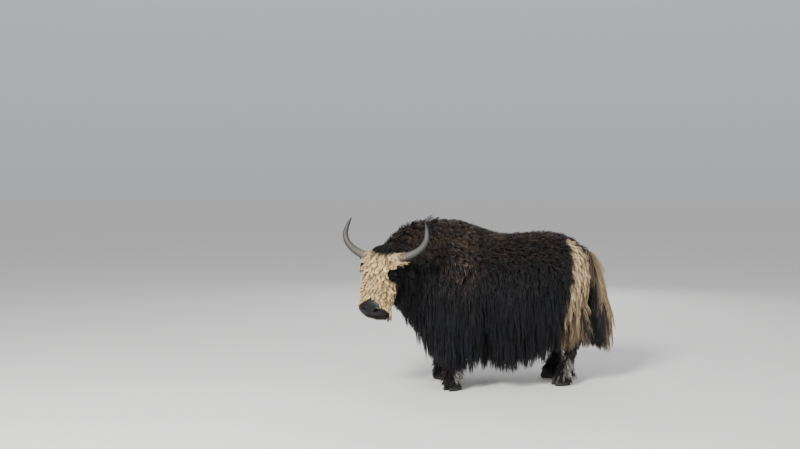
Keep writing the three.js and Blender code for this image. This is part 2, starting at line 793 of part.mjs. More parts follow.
// Neck and trunk, made whole and parted by thin cuts
const core = trunk().add(neck());
const hide = new Hide(core);
const regions = [flankLocks, bellyLocks, rearLocks, neckLocks, crestLocks];
const hairOfBody = regions.flatMap((grow) => grow(hide));
const body = joined([core, ...strands(hairOfBody)]);
const SIDES = { left: -1, right: 1 };
const ENDS = ["fore", "hind"];
const legTools = Object.values(SIDES).flatMap((side) => ENDS.map((end) => leg(end, side, GAP)));
const tailTools = [spindle(TAIL_DOCK, 10, 10, GAP), ...strands(hairOfTail, GAP)];
const headTools = [headShape(GAP), ...strands(hairOfHead, GAP)].map(inHead);
const neckPart = trimmed(body, NECK_CUT, NECK_CUT.normal);
place("neck", cut(neckPart, [...headTools, ...hornAndEarTools]), MATERIALS.darkCoat);
const trunkPart = trimmed(body, NECK_CUT, reversed(NECK_CUT.normal));
const behindNeck = cut(trunkPart, [...legTools, ...tailTools]);
for (const [name, side] of Object.entries(SIDES)) {
  const half = trimmed(behindNeck, {}, [0, side, 0]);
  const front = trimmed(half, { x: SHOULDER_CUT }, [-1, 0, 0]);
  const rear = trimmed(half, { x: SHOULDER_CUT }, [1, 0, 0]);
  place("forequarter_" + name, front, MATERIALS.darkCoat);
  place("barrel_" + name, trimmed(rear, { x: LOIN_CUT }, [-1, 0, 0]), MATERIALS.darkCoat);
  place("hindquarter_" + name, trimmed(rear, { x: LOIN_CUT }, [1, 0, 0]), MATERIALS.paleCoat);
}

// Legs and claws
for (const end of ENDS) {
  for (const [name, side] of Object.entries(SIDES)) {
    const plane = coronet(end, side);
    place(`${end}_leg_${name}`, trimmed(leg(end, side), plane.at, plane.normal), MATERIALS.darkCoat);
    place(`${end}_claw_${name}_outer`, claw(end, side, 1), MATERIALS.hoof);
    place(`${end}_claw_${name}_inner`, claw(end, side, -1), MATERIALS.hoof);
  }
}

yak.position.set(-MIDDLE.x, -MIDDLE.y, 0);
export default yak;
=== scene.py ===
"""A life-size domestic yak that stands and looks round to its left, in a long shaggy coat.

The skin, coat, eyes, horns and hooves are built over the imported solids, from the same sizes.
"""

import math
from functools import partial

import bmesh
import bpy
import numpy as np
from mathutils import Matrix, Vector
from mathutils.bvhtree import BVHTree
from mathutils.kdtree import KDTree


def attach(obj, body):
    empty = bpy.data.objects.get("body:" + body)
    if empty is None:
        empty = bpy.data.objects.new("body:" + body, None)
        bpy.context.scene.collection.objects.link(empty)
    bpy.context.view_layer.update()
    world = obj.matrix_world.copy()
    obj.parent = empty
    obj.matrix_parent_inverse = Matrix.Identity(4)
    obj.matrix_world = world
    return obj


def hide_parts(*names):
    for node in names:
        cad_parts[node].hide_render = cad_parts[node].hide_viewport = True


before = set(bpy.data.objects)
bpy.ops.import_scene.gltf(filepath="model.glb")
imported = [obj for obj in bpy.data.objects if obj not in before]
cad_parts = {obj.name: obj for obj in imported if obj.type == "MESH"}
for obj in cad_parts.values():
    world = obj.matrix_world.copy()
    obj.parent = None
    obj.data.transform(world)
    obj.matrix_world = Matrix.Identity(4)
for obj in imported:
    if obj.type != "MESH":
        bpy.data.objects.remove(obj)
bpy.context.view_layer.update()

# Sizes and places are in millimetres, in the body's own frame: the head end is at -X and its
# left side at -Y. MIDDLE is the place of the row frame's origin there.
MIDDLE = np.array([-175.0, -35.0, 0.0])
MM = 0.001
DOWN = np.array([0.0, 0.0, -1.0])

# Depth of the coat over the skin
BODY_COAT = 14
HEAD_COAT = 4
LEG_COAT = 6
# Size of the skin's faces, and the area from which a face carries four roots
VOXEL = 10
LARGE_FACE = 60

# Trunk: x, top, belly, half width, height of the widest place, fullness of the upper half
TRUNK = [
    (-800, 1000, 1000, 0, 1000, 2),
    (-790, 1210, 795, 75, 1000, 1.9),
    (-745, 1352, 625, 160, 945, 1.7),
    (-660, 1388, 515, 238, 880, 1.6),
    (-550, 1396, 458, 288, 835, 1.6),
    (-420, 1388, 450, 322, 805, 1.6),
    (-290, 1350, 460, 344, 795, 1.7),
    (-150, 1290, 470, 358, 788, 1.9),
    (0, 1256, 476, 364, 785, 2.1),
    (160, 1260, 485, 362, 792, 2.15),
    (310, 1268, 502, 346, 810, 2.1),
    (440, 1265, 530, 320, 840, 2),
    (545, 1240, 568, 282, 872, 1.9),
    (630, 1196, 632, 228, 905, 1.9),
    (690, 1130, 735, 150, 940, 1.9),
    (716, 1040, 850, 70, 950, 2),
    (722, 950, 950, 0, 950, 2),
]
BELLY_FULLNESS = 2.3

# Neck: centre x, y, z, height over the centre, depth under it, half width
NECK = [
    (-540, 0, 1000, 0, 0, 0),
    (-600, 0, 1000, 250, 330, 190),
    (-700, -8, 985, 382, 400, 205),
    (-795, -32, 985, 388, 345, 190),
    (-875, -82, 1005, 345, 262, 174),
    (-935, -145, 1030, 238, 205, 160),
    (-980, -195, 1045, 150, 165, 145),
    (-1006, -222, 1052, 70, 90, 75),
    (-1012, -230, 1053, 0, 0, 0),
]

# Head, in its own frame: x down the face, y to its left, z out of the forehead
POLL = (-1035, -250, 1149)
HEAD_TURN = {"yaw": 51.2, "nod": 58.1, "tilt": -5.5}
# x, top, underside, half width, height of the widest place, fullness
HEAD = [
    (-64, -80, -80, 0, -80, 2),
    (-56, -20, -138, 66, -80, 2.2),
    (-30, 18, -182, 120, -76, 2.5),
    (25, 31, -218, 142, -70, 2.7),
    (85, 31, -238, 147, -66, 2.7),
    (145, 22, -240, 143, -64, 2.7),
    (205, 10, -230, 134, -66, 2.7),
    (262, -3, -210, 124, -72, 2.6),
    (320, -13, -196, 116, -84, 2.5),
    (375, -22, -202, 113, -96, 2.4),
    (425, -30, -210, 121, -108, 2.4),
    (465, -40, -214, 128, -114, 2.5),
    (497, -60, -204, 111, -120, 2.5),
    (512, -88, -172, 72, -126, 2.3),
    (516, -126, -126, 0, -126, 2),
]
# Where the front of the nose begins to round off
NOSE_ROUNDS = 500
EYE = {"x": 182, "y": 127, "z": -40, "radius": 21}
EYE_OUT = (0.22, 0.92, 0.32)
EYE_LONG = (0.93, 0.0, 0.36)
CORNEA = {"edge": 0.72, "swell": 0.045}
LID = {"over": 4.5, "half_long": 24, "half_high": 12, "edge": 3}
NOSTRIL = {"x": 480, "y": 47, "z": -72, "long": 22, "wide": 10, "deep": 26}
MOUTH = {"z": -112, "back": 330, "half": 5, "deep": 12, "sag": 24}
EAR = {"x": 24, "y": 126, "z": -66, "length": 165, "width": 42, "thick": 8, "cup": 18}
EAR_WAY = (0.6, 0.66, -0.44)

# Left horn in the head's frame: x, y, z of its centre line, then its radius
HORN = [
    (66, 92, -12, 30),
    (62, 150, 3, 35),
    (48, 205, 14, 34),
    (16, 276, 24, 30),
    (-31, 337, 44, 26),
    (-90, 365, 67, 22),
    (-151, 359, 88, 16),
    (-198, 344, 102, 9),
    (-226, 332, 109, 2),
]

HORN_ROOT = np.array(HORN[1][:3], float)
HORN_WAY = np.array([-0.17, 0.96, 0.2])
# Hair that wraps the horn's root: its ring's radii and its length
HORN_HAIR = {"inner": 34, "outer": 62, "left": 116, "right": 84, "over": 9, "reach": 150}
# Shallow rings of the horn: vertices, its length, their spacing and height
HORN_RINGS = {"count": 150, "around": 40, "length": 620, "apart": 17, "high": 0.022}

# Legs of the left side from the top down: z, x, y, half length, half width
LEGS = {
    "fore": [
        (628, -458, -190, 58, 46),
        (550, -461, -193, 84, 62),
        (430, -474, -202, 68, 56),
        (345, -482, -207, 60, 55),
        (275, -479, -210, 47, 45),
        (195, -474, -214, 45, 44),
        (132, -472, -218, 57, 55),
        (98, -476, -222, 54, 53),
        (40, -483, -229, 52, 47),
    ],
    "hind": [
        (688, 566, -160, 62, 44),
        (620, 578, -160, 98, 62),
        (510, 602, -160, 68, 50),
        (445, 598, -160, 61, 47),
        (385, 581, -160, 50, 43),
        (290, 549, -160, 43, 41),
        (195, 521, -160, 45, 43),
        (132, 504, -160, 57, 53),
        (98, 493, -161, 54, 52),
        (40, 478, -163, 52, 47),
    ],
}
FEET = {"fore": {"x": -470, "y": 221, "toe_out": 36}, "hind": {"x": 473, "y": 160, "toe_out": 10}}
CORONET = {"height": 78, "slope": 0.2}
DEWCLAW = {"z": 118, "back": 50, "apart": 24, "radii": (13, 11, 19)}
# One claw: height, half length, outer half width, shift towards the toe
CLAW = [(0, 70, 30, 8), (12, 73, 31, 8), (55, 61, 28, 0), (100, 44, 22, -12)]
CLAW_INNER = 24
CLAW_SPACING = 29
SIDES = {"left": -1, "right": 1}

# Bony part of the tail: x, y, z, radius
TAIL_DOCK = [
    (650, 0, 1105, 36),
    (702, 0, 1110, 46),
    (748, 0, 1078, 46),
    (786, 0, 1010, 46),
    (814, 0, 890, 54),
    (842, 0, 760, 62),
    (854, 0, 620, 60),
    (856, 0, 500, 44),
    (852, 0, 420, 18),
]
TAIL_CORE = 0.72
# The flank draws in behind the elbow
HOLLOW = {"x": -215, "half": 78, "top": 850, "floor": 690, "deep": 30}

# Where the pieces of the coat meet, by height and then by x
LEG_TOP = 480
FLANK_TOP = 840
BACK_EDGE = 1030
MANE_END = -640
HUMP_END = -280
TAIL_START = 724
# Pale hair of the jaw in the head's frame: its highest z, its first x, its last x on each side
JAW = {"under": -118, "from": 200, "left": 462, "right": 400}
# Range of each hair's own length, lift and width, as shares of its piece's
OWN_LENGTH = (0.84, 1.06)
OWN_LIFT = (0.35, 1.0)
OWN_WIDTH = (0.7, 1.3)

# Width of each tuft's patch on the unwrapped skin
PATCH = 0.003

# Height of the coat's hem, by x
HEM = [
    (-1020, 830),
    (-935, 745),
    (-850, 560),
    (-765, 440),
    (-660, 245),
    (-560, 182),
    (-400, 168),
    (-276, 172),
    (-110, 138),
    (56, 150),
    (181, 180),
    (282, 220),
    (400, 270),
    (535, 310),
    (700, 360),
]

# Front edge of the pale rump: height, x
RUMP_EDGE = [
    (319, 530),
    (475, 492),
    (623, 452),
    (742, 428),
    (846, 450),
    (920, 505),
    (1068, 512),
    (1221, 480),
]
# Rear edge of its lower part: height, x
RUMP_REAR = [(480, 556), (620, 598), (750, 640), (840, 740)]
# Lower edge of the pale face in the head's frame: x, z
FACE_EDGE = [
    (0, -50),
    (60, -46),
    (120, -10),
    (182, -4),
    (235, -105),
    (300, -185),
    (340, -215),
    (400, -235),
    (440, -215),
    (478, -110),
]
FACE_TOP = 22
MUZZLE_EDGE = 428
EYE_PATCH = {"long": 58, "high": 52}

# Colours, linear
BLACK = (0.0060, 0.0056, 0.0068)
# Painted reflection of a blue sky, a sheen in the black hair low on the flanks
PAINTED_SHEEN_BLUE = (0.0056, 0.0064, 0.0094)
BROWN = (0.035, 0.0215, 0.0140)
FADED = (0.140, 0.100, 0.067)
RUSSET = (0.024, 0.011, 0.010)
CREAM = (0.93, 0.665, 0.34)
STRAW = (0.80, 0.60, 0.355)
TAN = (0.20, 0.125, 0.066)
WHITE = (0.46, 0.44, 0.40)
MUZZLE_GREY = (0.0085, 0.0078, 0.0080)
CHIN_BROWN = (0.040, 0.026, 0.019)
# Painted shade: how dark the skin is drawn under the coat
SKIN_SHADE = 0.32
# Tones by place: from the horn's root to its tip, in the grain of hoof and floor, out from the pupil
HORN_TONES = [
    (0.10, (0.048, 0.034, 0.019)),
    (0.26, (0.080, 0.066, 0.043)),
    (0.48, (0.051, 0.045, 0.035)),
    (0.74, (0.033, 0.030, 0.027)),
    (0.94, (0.030, 0.028, 0.026)),
    (1.0, (0.012, 0.012, 0.012)),
]
HOOF_TONES = [(0.3, (0.007, 0.006, 0.006)), (0.8, (0.035, 0.030, 0.026))]
EYE_TONES = [
    (0.42, (0.002, 0.002, 0.003)),
    (0.55, (0.009, 0.005, 0.003)),
    (0.98, (0.004, 0.003, 0.002)),
]
FLOOR_TONES = [(0.0, (0.72, 0.71, 0.69)), (1.0, (0.78, 0.77, 0.75))]

# Hair of the flanks and tail by height, of the face and beard by the distance down the face
FLANK_LENGTH = [
    (480, 380),
    (600, 430),
    (720, 390),
    (800, 270),
    (860, 170),
    (930, 105),
    (1030, 78),
    (1240, 56),
]
FLANK_LIFT = [(480, 40), (600, 50), (800, 52), (930, 44), (1050, 36), (1200, 34), (1400, 36)]
TAIL_LENGTH = [(420, 170), (700, 410), (900, 450), (1110, 250)]
FACE_LENGTH = [(-20, 84), (20, 92), (150, 84), (280, 68), (360, 44), (430, 24)]
BEARD_LENGTH = [(200, 70), (300, 125), (370, 140), (460, 70)]

# The studio, in metres, in the row frame
FLOOR_RADIUS = 400
CAMERA = {"x": -1.7165, "y": -7.3007, "z": 1.6, "turn": 7.8645, "down": 1.933, "lens": 40}
LAMP_AIM = (0, 0, 0.8)
# Place, width and power of each lamp
LAMPS = {
    "key": ((-4.5, -5.5, 5.5), 2.4, 1200),
    "fill": ((5.0, -5.0, 3.0), 5.0, 150),
    "rim": ((2.5, 6.5, 4.0), 5.0, 160),
}


def unit(vectors):
    """Vectors made one long."""
    size = np.linalg.norm(vectors, axis=-1, keepdims=True)
    return vectors / np.maximum(size, 1e-9)


def smooth(t):
    """A soft step from 0 to 1 as t goes from 0 to 1."""
    t = np.clip(t, 0, 1)
    return t * t * (3 - 2 * t)


def ramp(value, start, end):
    """A soft step from 0 to 1 as the value goes from start to end, either of them the higher."""
    return smooth((value - start) / (end - start))


def bell(value, middle, half):
    """A smooth bump, 1 in the middle."""
    return np.exp(-(((value - middle) / half) ** 2))


def square(way, axis):
    """A way made square to an axis."""
    return unit(way - axis * (way @ axis))


def bent(value, fullness):
    """A cosine or sine, made squarer by a fullness over 2."""
    return np.sign(value) * np.abs(value) ** (2 / fullness)


def spline(rows, t):
    """Smooth values between the rows of a table, at shares t of its length."""
    rows = np.asarray(rows, float)
    place = np.clip(t, 0, 1) * (len(rows) - 1)
    i = np.minimum(place.astype(int), len(rows) - 2)
    f = (place - i)[:, None]
    a, b, c, d = (rows[np.clip(i + k, 0, len(rows) - 1)] for k in (-1, 0, 1, 2))
    cubic = 3 * (b - c) + d - a
    return b + 0.5 * f * (c - a + f * (2 * a - 5 * b + 4 * c - d + f * cubic))


def along(table, value):
    """Straight interpolation in a table of two columns."""
    places, values = np.array(table, float).T
    return np.interp(value, places, values)


def patchy(points, size, seed):
    """Soft random patches from -1 to 1, about size across."""
    waves = np.random.default_rng(seed)
    total = np.zeros(len(points))
    for _ in range(6):
        way = unit(waves.normal(size=3)) * waves.uniform(0.7, 1.6)
        total += np.sin(points @ way * (2 * math.pi / size) + waves.uniform(0, 2 * math.pi))
    return total / 3.2


def to_row(points):
    """From the body's frame in millimetres to the row frame in metres."""
    return (points - MIDDLE) * MM


def from_row(points):
    """From the row frame in metres to the body's frame in millimetres."""
    return points / MM + MIDDLE


def head_matrix():
    """The head's own frame, turned into place."""
    yaw = Matrix.Rotation(math.radians(180 + HEAD_TURN["yaw"]), 4, "Z")
    nod = Matrix.Rotation(math.radians(HEAD_TURN["nod"]), 4, "Y")
    tilt = Matrix.Rotation(math.radians(HEAD_TURN["tilt"]), 4, "X")
    return np.array(Matrix.Translation(POLL) @ yaw @ nod @ tilt)


HEAD_FRAME = head_matrix()


def from_head(points):
    return points @ HEAD_FRAME[:3, :3].T + HEAD_FRAME[:3, 3]


def into_head(points):
    return (points - HEAD_FRAME[:3, 3]) @ HEAD_FRAME[:3, :3]


def head_way(way):
    """A direction in the head's frame, turned into the body's."""
    return unit(np.asarray(way, float)) @ HEAD_FRAME[:3, :3].T


# Way that the hair falls, where it is the same all over
LEG_LIE = (0.1, 0.0, -1.0)
CHEEK_LIE = head_way((0.75, 0, -0.5)) + 0.5 * DOWN
CHIN_LIE = head_way((0.2, 0, -0.4)) + 1.3 * DOWN


# Meshes
def loft(rings):
    """Vertices and faces of a closed form through rings of points."""
    count, around = rings.shape[:2]
    ends = np.stack([rings[0].mean(0), rings[-1].mean(0)])
    first = np.arange(count * around).reshape(count, around)
    after = np.roll(first, -1, axis=1)
    sides = np.stack([first[:-1], after[:-1], after[1:], first[1:]], -1).reshape(-1, 4)
    start, end = count * around, count * around + 1
    caps = [(start, b, a) for a, b in zip(first[0], after[0])]
    caps += [(end, a, b) for a, b in zip(first[-1], after[-1])]
    return np.vstack([rings.reshape(-1, 3), ends]), [*map(tuple, sides), *caps]


def placed(name, data):
    """A new object in the scene."""
    made = bpy.data.objects.new(name, data)
    bpy.context.scene.collection.objects.link(made)
    return made


def mesh_object(name, forms):
    """One object from several (vertices, faces) forms in the body's frame."""
    vertices, faces = [], []
    start = 0
    for points, polygons in forms:
        vertices.append(points)
        faces += [tuple(int(i) + start for i in face) for face in polygons]
        start += len(points)
    mesh = bpy.data.meshes.new(name)
    mesh.from_pydata(to_row(np.vstack(vertices)).tolist(), [], faces)
    mesh.validate()
    return placed(name, mesh)


def read(data, name, width, kind=np.float32):
    """One property of all the items of a mesh's collection."""
    flat = np.zeros(len(data) * width, kind)
    data.foreach_get(name, flat)
    return flat.reshape(-1, width) if width > 1 else flat


def points_of(mesh):
    return from_row(read(mesh.vertices, "co", 3).astype(float))


def set_points(mesh, points):
    mesh.vertices.foreach_set("co", to_row(points).astype(np.float32).ravel())
    mesh.update()


def outward(made):
    """Faces turned out, and shaded smooth."""
    shape = bmesh.new()
    shape.from_mesh(made.data)
    bmesh.ops.recalc_face_normals(shape, faces=shape.faces)
    shape.to_mesh(made.data)
    shape.free()
    made.data.shade_smooth()
    return made


def circle(count):
    """Sines and cosines round a circle, as a row."""
    angle = np.linspace(0, 2 * math.pi, count, endpoint=False)[None]
    return np.sin(angle), np.cos(angle)


def round_rings(rows, count, around, size=1.0):
    """Rings along a centre line whose rows end with the radius."""
    values = spline(rows, np.linspace(0, 1, count))
    line, radius = values[:, :3], values[:, 3] * size
    way = unit(np.gradient(line, axis=0))
    side = unit(np.cross((0.3, 0.5, 1.0), way))
    up = np.cross(way, side)
    s, c = circle(around)
    ring = c[..., None] * side[:, None] + s[..., None] * up[:, None]
    return line[:, None] + radius[:, None, None] * ring


# Forms of the skin
def trunk_form():
    t = np.linspace(0, 1, 96)[1:-1]
    x, top, belly, width, widest, fullness = spline(TRUNK, t).T[..., None]
    s, c = circle(80)
    n = np.where(s > 0, fullness, BELLY_FULLNESS)
    reach = np.where(s > 0, top - widest, widest - belly) - BODY_COAT
    width = np.maximum(width - BODY_COAT, 1) * bent(c, n)
    height = widest + np.maximum(reach, 1) * bent(s, n)
    x = x + BODY_COAT * (1 - 2 * t[:, None]) + 0 * s
    return loft(np.stack([x, width, height], -1))


def neck_form():
    values = spline(NECK, np.linspace(0, 1, 48)[1:-1])
    line = values[:, :3]
    over, under, width = values[:, 3:].T[:, :, None] - BODY_COAT
    way = unit(np.gradient(line, axis=0))
    left = unit(np.cross((0, 0, 1), way))
    up = np.cross(way, left)
    s, c = circle(72)
    rise = np.maximum(np.where(s > 0, over, under), 1) * s
    aside = np.maximum(width, 1) * c
    return loft(line[:, None] + aside[..., None] * left[:, None] + rise[..., None] * up[:, None])


def head_values(x):
    """The head's row at a distance x down the face."""
    table = np.array(HEAD, float)
    share = np.interp(x, table[:, 0], np.linspace(0, 1, len(table)))
    return spline(HEAD, share)


def head_form():
    t = np.linspace(0, 1, 120)[1:-1]
    x, top, under, width, widest, fullness = spline(HEAD, t).T[:, :, None]
    inset = HEAD_COAT * ramp(x, MUZZLE_EDGE + 20, MUZZLE_EDGE - 60) + 1
    s, c = circle(80)
    reach = np.maximum(np.where(s > 0, top - widest, widest - under) - inset, 1)
    y = np.maximum(width - inset, 1) * bent(c, fullness)
    z = widest + reach * bent(s, fullness)
    return loft(from_head(np.stack([x + 0 * s, y, z], -1)))


def ear_axes(side):
    """Root, way out, front and width directions of an ear, in the head's frame."""
    out = unit(np.array([EAR_WAY[0], side * EAR_WAY[1], EAR_WAY[2]]))
    front = square(np.array([0.6, 0, 0.8]), out)
    root = np.array([EAR["x"], side * EAR["y"], EAR["z"]], float)
    return root, out, front, np.cross(out, front)


def ear_form(side):
    root, out, front, across = ear_axes(side)
    t = np.linspace(0, 1, 40)[1:-1, None]
    s, c = circle(48)
    leaf = np.sin(math.pi * t)
    x = EAR["width"] * leaf**0.6 * (1 - 0.25 * t) * c
    z = EAR["cup"] * leaf * c**2 + (EAR["thick"] - 1) * s
    way = t[..., None] * EAR["length"] * out
    return loft(from_head(root + way + x[..., None] * across + z[..., None] * front))


def leg_form(end, side):
    values = spline(LEGS[end], np.linspace(0, 1, 72))
    z, x, y, length, width = values.T[:, :, None]
    s, c = circle(40)
    depth = (length - LEG_COAT) * c
    across = y + (width - LEG_COAT) * s
    return loft(np.stack([x + depth, -side * across, z + 0 * depth], -1))


def dewclaw_forms(end, side):
    """Two small knobs behind the fetlock."""
    _, x, y, _, _ = next(row for row in LEGS[end] if row[0] < 140)
    t = np.linspace(0, math.pi, 14)[1:-1, None]
    s, c = circle(24)
    knob = np.stack([np.sin(t) * c, np.sin(t) * s, np.cos(t) + 0 * c], -1) * DEWCLAW["radii"]
    x, y = x + DEWCLAW["back"], -side * y
    return [loft(knob + (x, y + half * DEWCLAW["apart"], DEWCLAW["z"])) for half in (-1, 1)]


def evaluated(made):
    """The object with its modifiers applied."""
    graph = bpy.context.evaluated_depsgraph_get()
    mesh = bpy.data.meshes.new_from_object(made.evaluated_get(graph))
    made.modifiers.clear()
    made.data = mesh
    return made


def refined(mesh, chosen):
    """Splits the chosen faces in four; chosen takes their centres in the head's frame."""
    shape = bmesh.new()
    shape.from_mesh(mesh)
    centres = np.array([face.calc_center_median() for face in shape.faces])
    inside = chosen(into_head(from_row(centres)))
    edges = {edge for face, yes in zip(shape.faces, inside) if yes for edge in face.edges}
    bmesh.ops.subdivide_edges(shape, edges=list(edges), cuts=1, use_grid_fill=True, smooth=0.6)
    shape.to_mesh(mesh)
    shape.free()


def of_head(points, margin=1.22):
    """Which points, in the head's frame, lie on the head rather than the neck."""
    _, top, under, width, widest, n = head_values(np.minimum(points[:, 0], NOSE_ROUNDS)).T
    rise = points[:, 2] - widest
    reach = np.maximum(np.where(rise > 0, top - widest, widest - under), 1)
    size = np.abs(points[:, 1] / np.maximum(width, 1)) ** n + np.abs(rise / reach) ** n
    return (size < margin) & (points[:, 0] > -75) & (points[:, 0] < 525)


def near_eye(points, reach):
    apart = np.stack([points[:, 0] - EYE["x"], np.abs(points[:, 1]) - EYE["y"], points[:, 2] - EYE["z"]])
    return np.linalg.norm(apart, axis=0) < reach


def fine_head(points):
    on_head = of_head(points)
    return on_head & ((points[:, 0] > MUZZLE_EDGE - 60) | near_eye(points, 48))


def eye_axes(side):
    out = unit(np.array(EYE_OUT) * (1, side, 1))
    long = square(np.array(EYE_LONG), out)
    return out, long, np.cross(out, long)


def add_lids(points):
    """Draws the skin over each eyeball, with an almond opening between the lids."""
    for side in (-1, 1):
        out, long, high = eye_axes(side)
        centre = np.array([EYE["x"], side * EYE["y"], EYE["z"]])
        apart = points - centre
        near = np.linalg.norm(apart, axis=1) < 60
        a, b, w = (apart[near] @ axis for axis in (long, high, out))
        across = np.hypot(a, b)
        lid = np.sqrt(np.maximum((EYE["radius"] + LID["over"]) ** 2 - across**2, 0))
        raised = np.maximum(w, lid * ramp(across, 34, 22))
        gap = LID["half_high"] * np.maximum(1 - (a / LID["half_long"]) ** 2, 0) - np.abs(b)
        opening = smooth(gap / LID["edge"])
        facing = w > 0
        new = raised * (1 - opening) + 4 * opening
        points[near] += np.where(facing, new - w, 0)[:, None] * out
    return points


def nostril(points, side):
    """The way into a nostril, and how far from its middle each point lies, 1 at its edge."""
    inward = -unit(np.array([0.85, side * 0.3, 0.35]))
    long = square(unit(np.array([-0.45, side * 0.85, 0.1])), inward)
    wide = np.cross(inward, long)
    apart = points - (NOSTRIL["x"], side * NOSTRIL["y"], NOSTRIL["z"])
    a, b = apart @ long, apart @ wide
    b = b - 0.012 * a**2 * side
    ring = np.hypot(a / NOSTRIL["long"], b / NOSTRIL["wide"])
    return inward, np.where(np.abs(apart @ inward) < 40, ring, 9)


def add_nostrils(points):
    """A comma-shaped pit with a raised rim on each side of the nose."""
    for side in (-1, 1):
        inward, ring = nostril(points, side)
        pit = smooth(1.35 - ring) * NOSTRIL["deep"]
        rim = 4.5 * bell(ring, 1.7, 0.5)
        points += (pit - rim)[:, None] * inward
    return points


def nostril_shade(heads):
    """Share of the painted shade inside the nostrils."""
    ring = np.minimum(nostril(heads, -1)[1], nostril(heads, 1)[1])
    return ramp(ring, 1.4, 1.0)


def mouth_height(x):
    """Height of the mouth line, which sags towards its corner."""
    return MOUTH["z"] - MOUTH["sag"] * ramp(x, 470, 340)


def add_mouth(points):
    """A groove between the lips, and a chin drawn back under the upper lip."""
    x, y, z = points.T
    off = z - mouth_height(x)
    ahead = ramp(x, MOUTH["back"], MOUTH["back"] + 25)
    groove = MOUTH["deep"] * bell(off, 0, MOUTH["half"]) * ahead
    upper = 4.0 * bell(off, 14, 12) * ramp(x, 380, 440)
    lower = 3.0 * bell(off, -11, 9) * ramp(x, 400, 460)
    centre = np.stack([np.full_like(x, 400.0), 0 * y, np.full_like(x, -110.0)], 1)
    outwards = unit((points - centre) * (1, 1, 0.15))
    back = 5 * ramp(off, -4, -34) * ramp(x, 430, 490)
    points += (upper + lower - groove)[:, None] * outwards
    points[:, 0] -= back
    return points


def modified(made, kind, **settings):
    """The object with one modifier applied."""
    modifier = made.modifiers.new(kind.lower(), kind)
    for name, value in settings.items():
        setattr(modifier, name, value)
    return evaluated(made)


def eased(made, chosen, times):
    """Softens the chosen vertices."""
    group = made.vertex_groups.new(name="eased")
    group.add(np.flatnonzero(chosen(points_of(made.data))).tolist(), 1.0, "REPLACE")
    modified(made, "SMOOTH", iterations=times, vertex_group="eased")
    made.vertex_groups.clear()


def of_trunk(points):
    return (points[:, 2] > 600) & (points[:, 0] < 730) & ~of_head(into_head(points), 1.3)


def hollow(points):
    """Share of the hollow behind the elbow."""
    x, _, z = points.T
    lengthwise = bell(x, HOLLOW["x"], HOLLOW["half"])
    return lengthwise * ramp(z, HOLLOW["top"], HOLLOW["floor"])


def make_skin():
    forms = [trunk_form(), neck_form(), head_form()]
    forms += [leg_form(end, side) for end in LEGS for side in (-1, 1)]
    forms += [form for end in LEGS for side in (-1, 1) for form in dewclaw_forms(end, side)]
    forms.append(loft(round_rings(TAIL_DOCK, 60, 32, TAIL_CORE)))
    skin = mesh_object("skin", forms)
    modified(skin, "REMESH", mode="VOXEL", voxel_size=VOXEL * MM)
    modified(skin, "SMOOTH", iterations=1)
    eased(skin, of_trunk, 40)
    refined(skin.data, of_head)
    refined(skin.data, fine_head)
    modified(skin, "SMOOTH", iterations=2)
    points = points_of(skin.data)
    drawn_in = HOLLOW["deep"] * hollow(points) * ramp(points[:, 2], 520, 580)
    points[:, 1] -= np.sign(points[:, 1]) * drawn_in * ramp(np.abs(points[:, 1]), 100, 200)
    local = into_head(points)
    on_head = of_head(local, 1.6)
    detailed = add_mouth(add_nostrils(add_lids(local[on_head])))
    points[on_head] = from_head(detailed)
    set_points(skin.data, points)
    ears = outward(mesh_object("ears", [ear_form(side) for side in (-1, 1)]))
    outward(skin)
    modified(skin, "BOOLEAN", operation="UNION", solver="MANIFOLD", object=ears)
    bpy.data.objects.remove(ears)
    skin.data.shade_smooth()
    bpy.context.view_layer.objects.active = skin
    skin.select_set(True)
    bpy.ops.object.mode_set(mode="EDIT")
    bpy.ops.mesh.select_all(action="SELECT")
    bpy.ops.uv.smart_project(angle_limit=math.radians(70), island_margin=0.001)
    bpy.ops.object.mode_set(mode="OBJECT")
    skin.data.uv_layers[0].name = "OFBake"
    skin.select_set(False)
    return skin


# Markings, with some painted sheen and shade, the same for the skin and for the hair that roots there
def mixed(low, high, share):
    """Colours between low and high, by a share for each point."""
    share = np.clip(share, 0, 1)[:, None]
    return np.asarray(low) * (1 - share) + np.asarray(high) * share


def pale_rump(points):
    """Share of the pale patch that covers the rump and thighs."""
    x, y, z = points.T
    edge = along(RUMP_EDGE, z) + 10 * patchy(points, 60, 5)
    spine = ramp(np.abs(y) - 14 * patchy(points, 50, 6), 98, 74) * ramp(z, 1030, 1080)
    rear = smooth((along(RUMP_REAR, z) + 24 * patchy(points, 40, 7) - x) / 24)
    return ramp(x, edge, edge + 14) * (1 - spine) * ramp(z, 300, 330) * np.where(z < 840, rear, 1)


def muzzle_start(heads):
    """How far down the face the bare skin begins: in a notch on the nose, lower on its sides."""
    _, y, z = heads.T
    notch = 34 * bell(y, 0, 26) * (z > -70)
    return MUZZLE_EDGE - notch + np.where(y > 0, 38, 26) * ramp(np.abs(y), 50, 95)


def pale_face(heads):
    """Share of the pale blaze that covers the face."""
    x, y, z = heads.T
    rough = patchy(heads, 40, 8)
    far = smooth(-y / 40)
    lower = 75 * far * ramp(x, 90, 150)
    side = smooth((z - along(FACE_EDGE, x) + lower + 6 * rough) / 10)
    long = (x - EYE["x"]) / EYE_PATCH["long"]
    patch = np.hypot(long, (z - EYE["z"]) / EYE_PATCH["high"]) * (1 + 1.1 * far)
    clear = np.where(np.abs(y) > 80, ramp(patch, 1, 1.15), 1)
    top = ramp(x + 12 * rough, FACE_TOP, FACE_TOP + 12)
    return side * clear * top * smooth((muzzle_start(heads) + 14 - x) / 8)


def bare_muzzle(heads):
    """Share of the bare skin round the nose and mouth."""
    x, _, z = heads.T
    over_chin = smooth((z - mouth_height(x) + 34) / 8)
    return smooth((x - muzzle_start(heads) + 3 * patchy(heads, 24, 9)) / 8) * over_chin


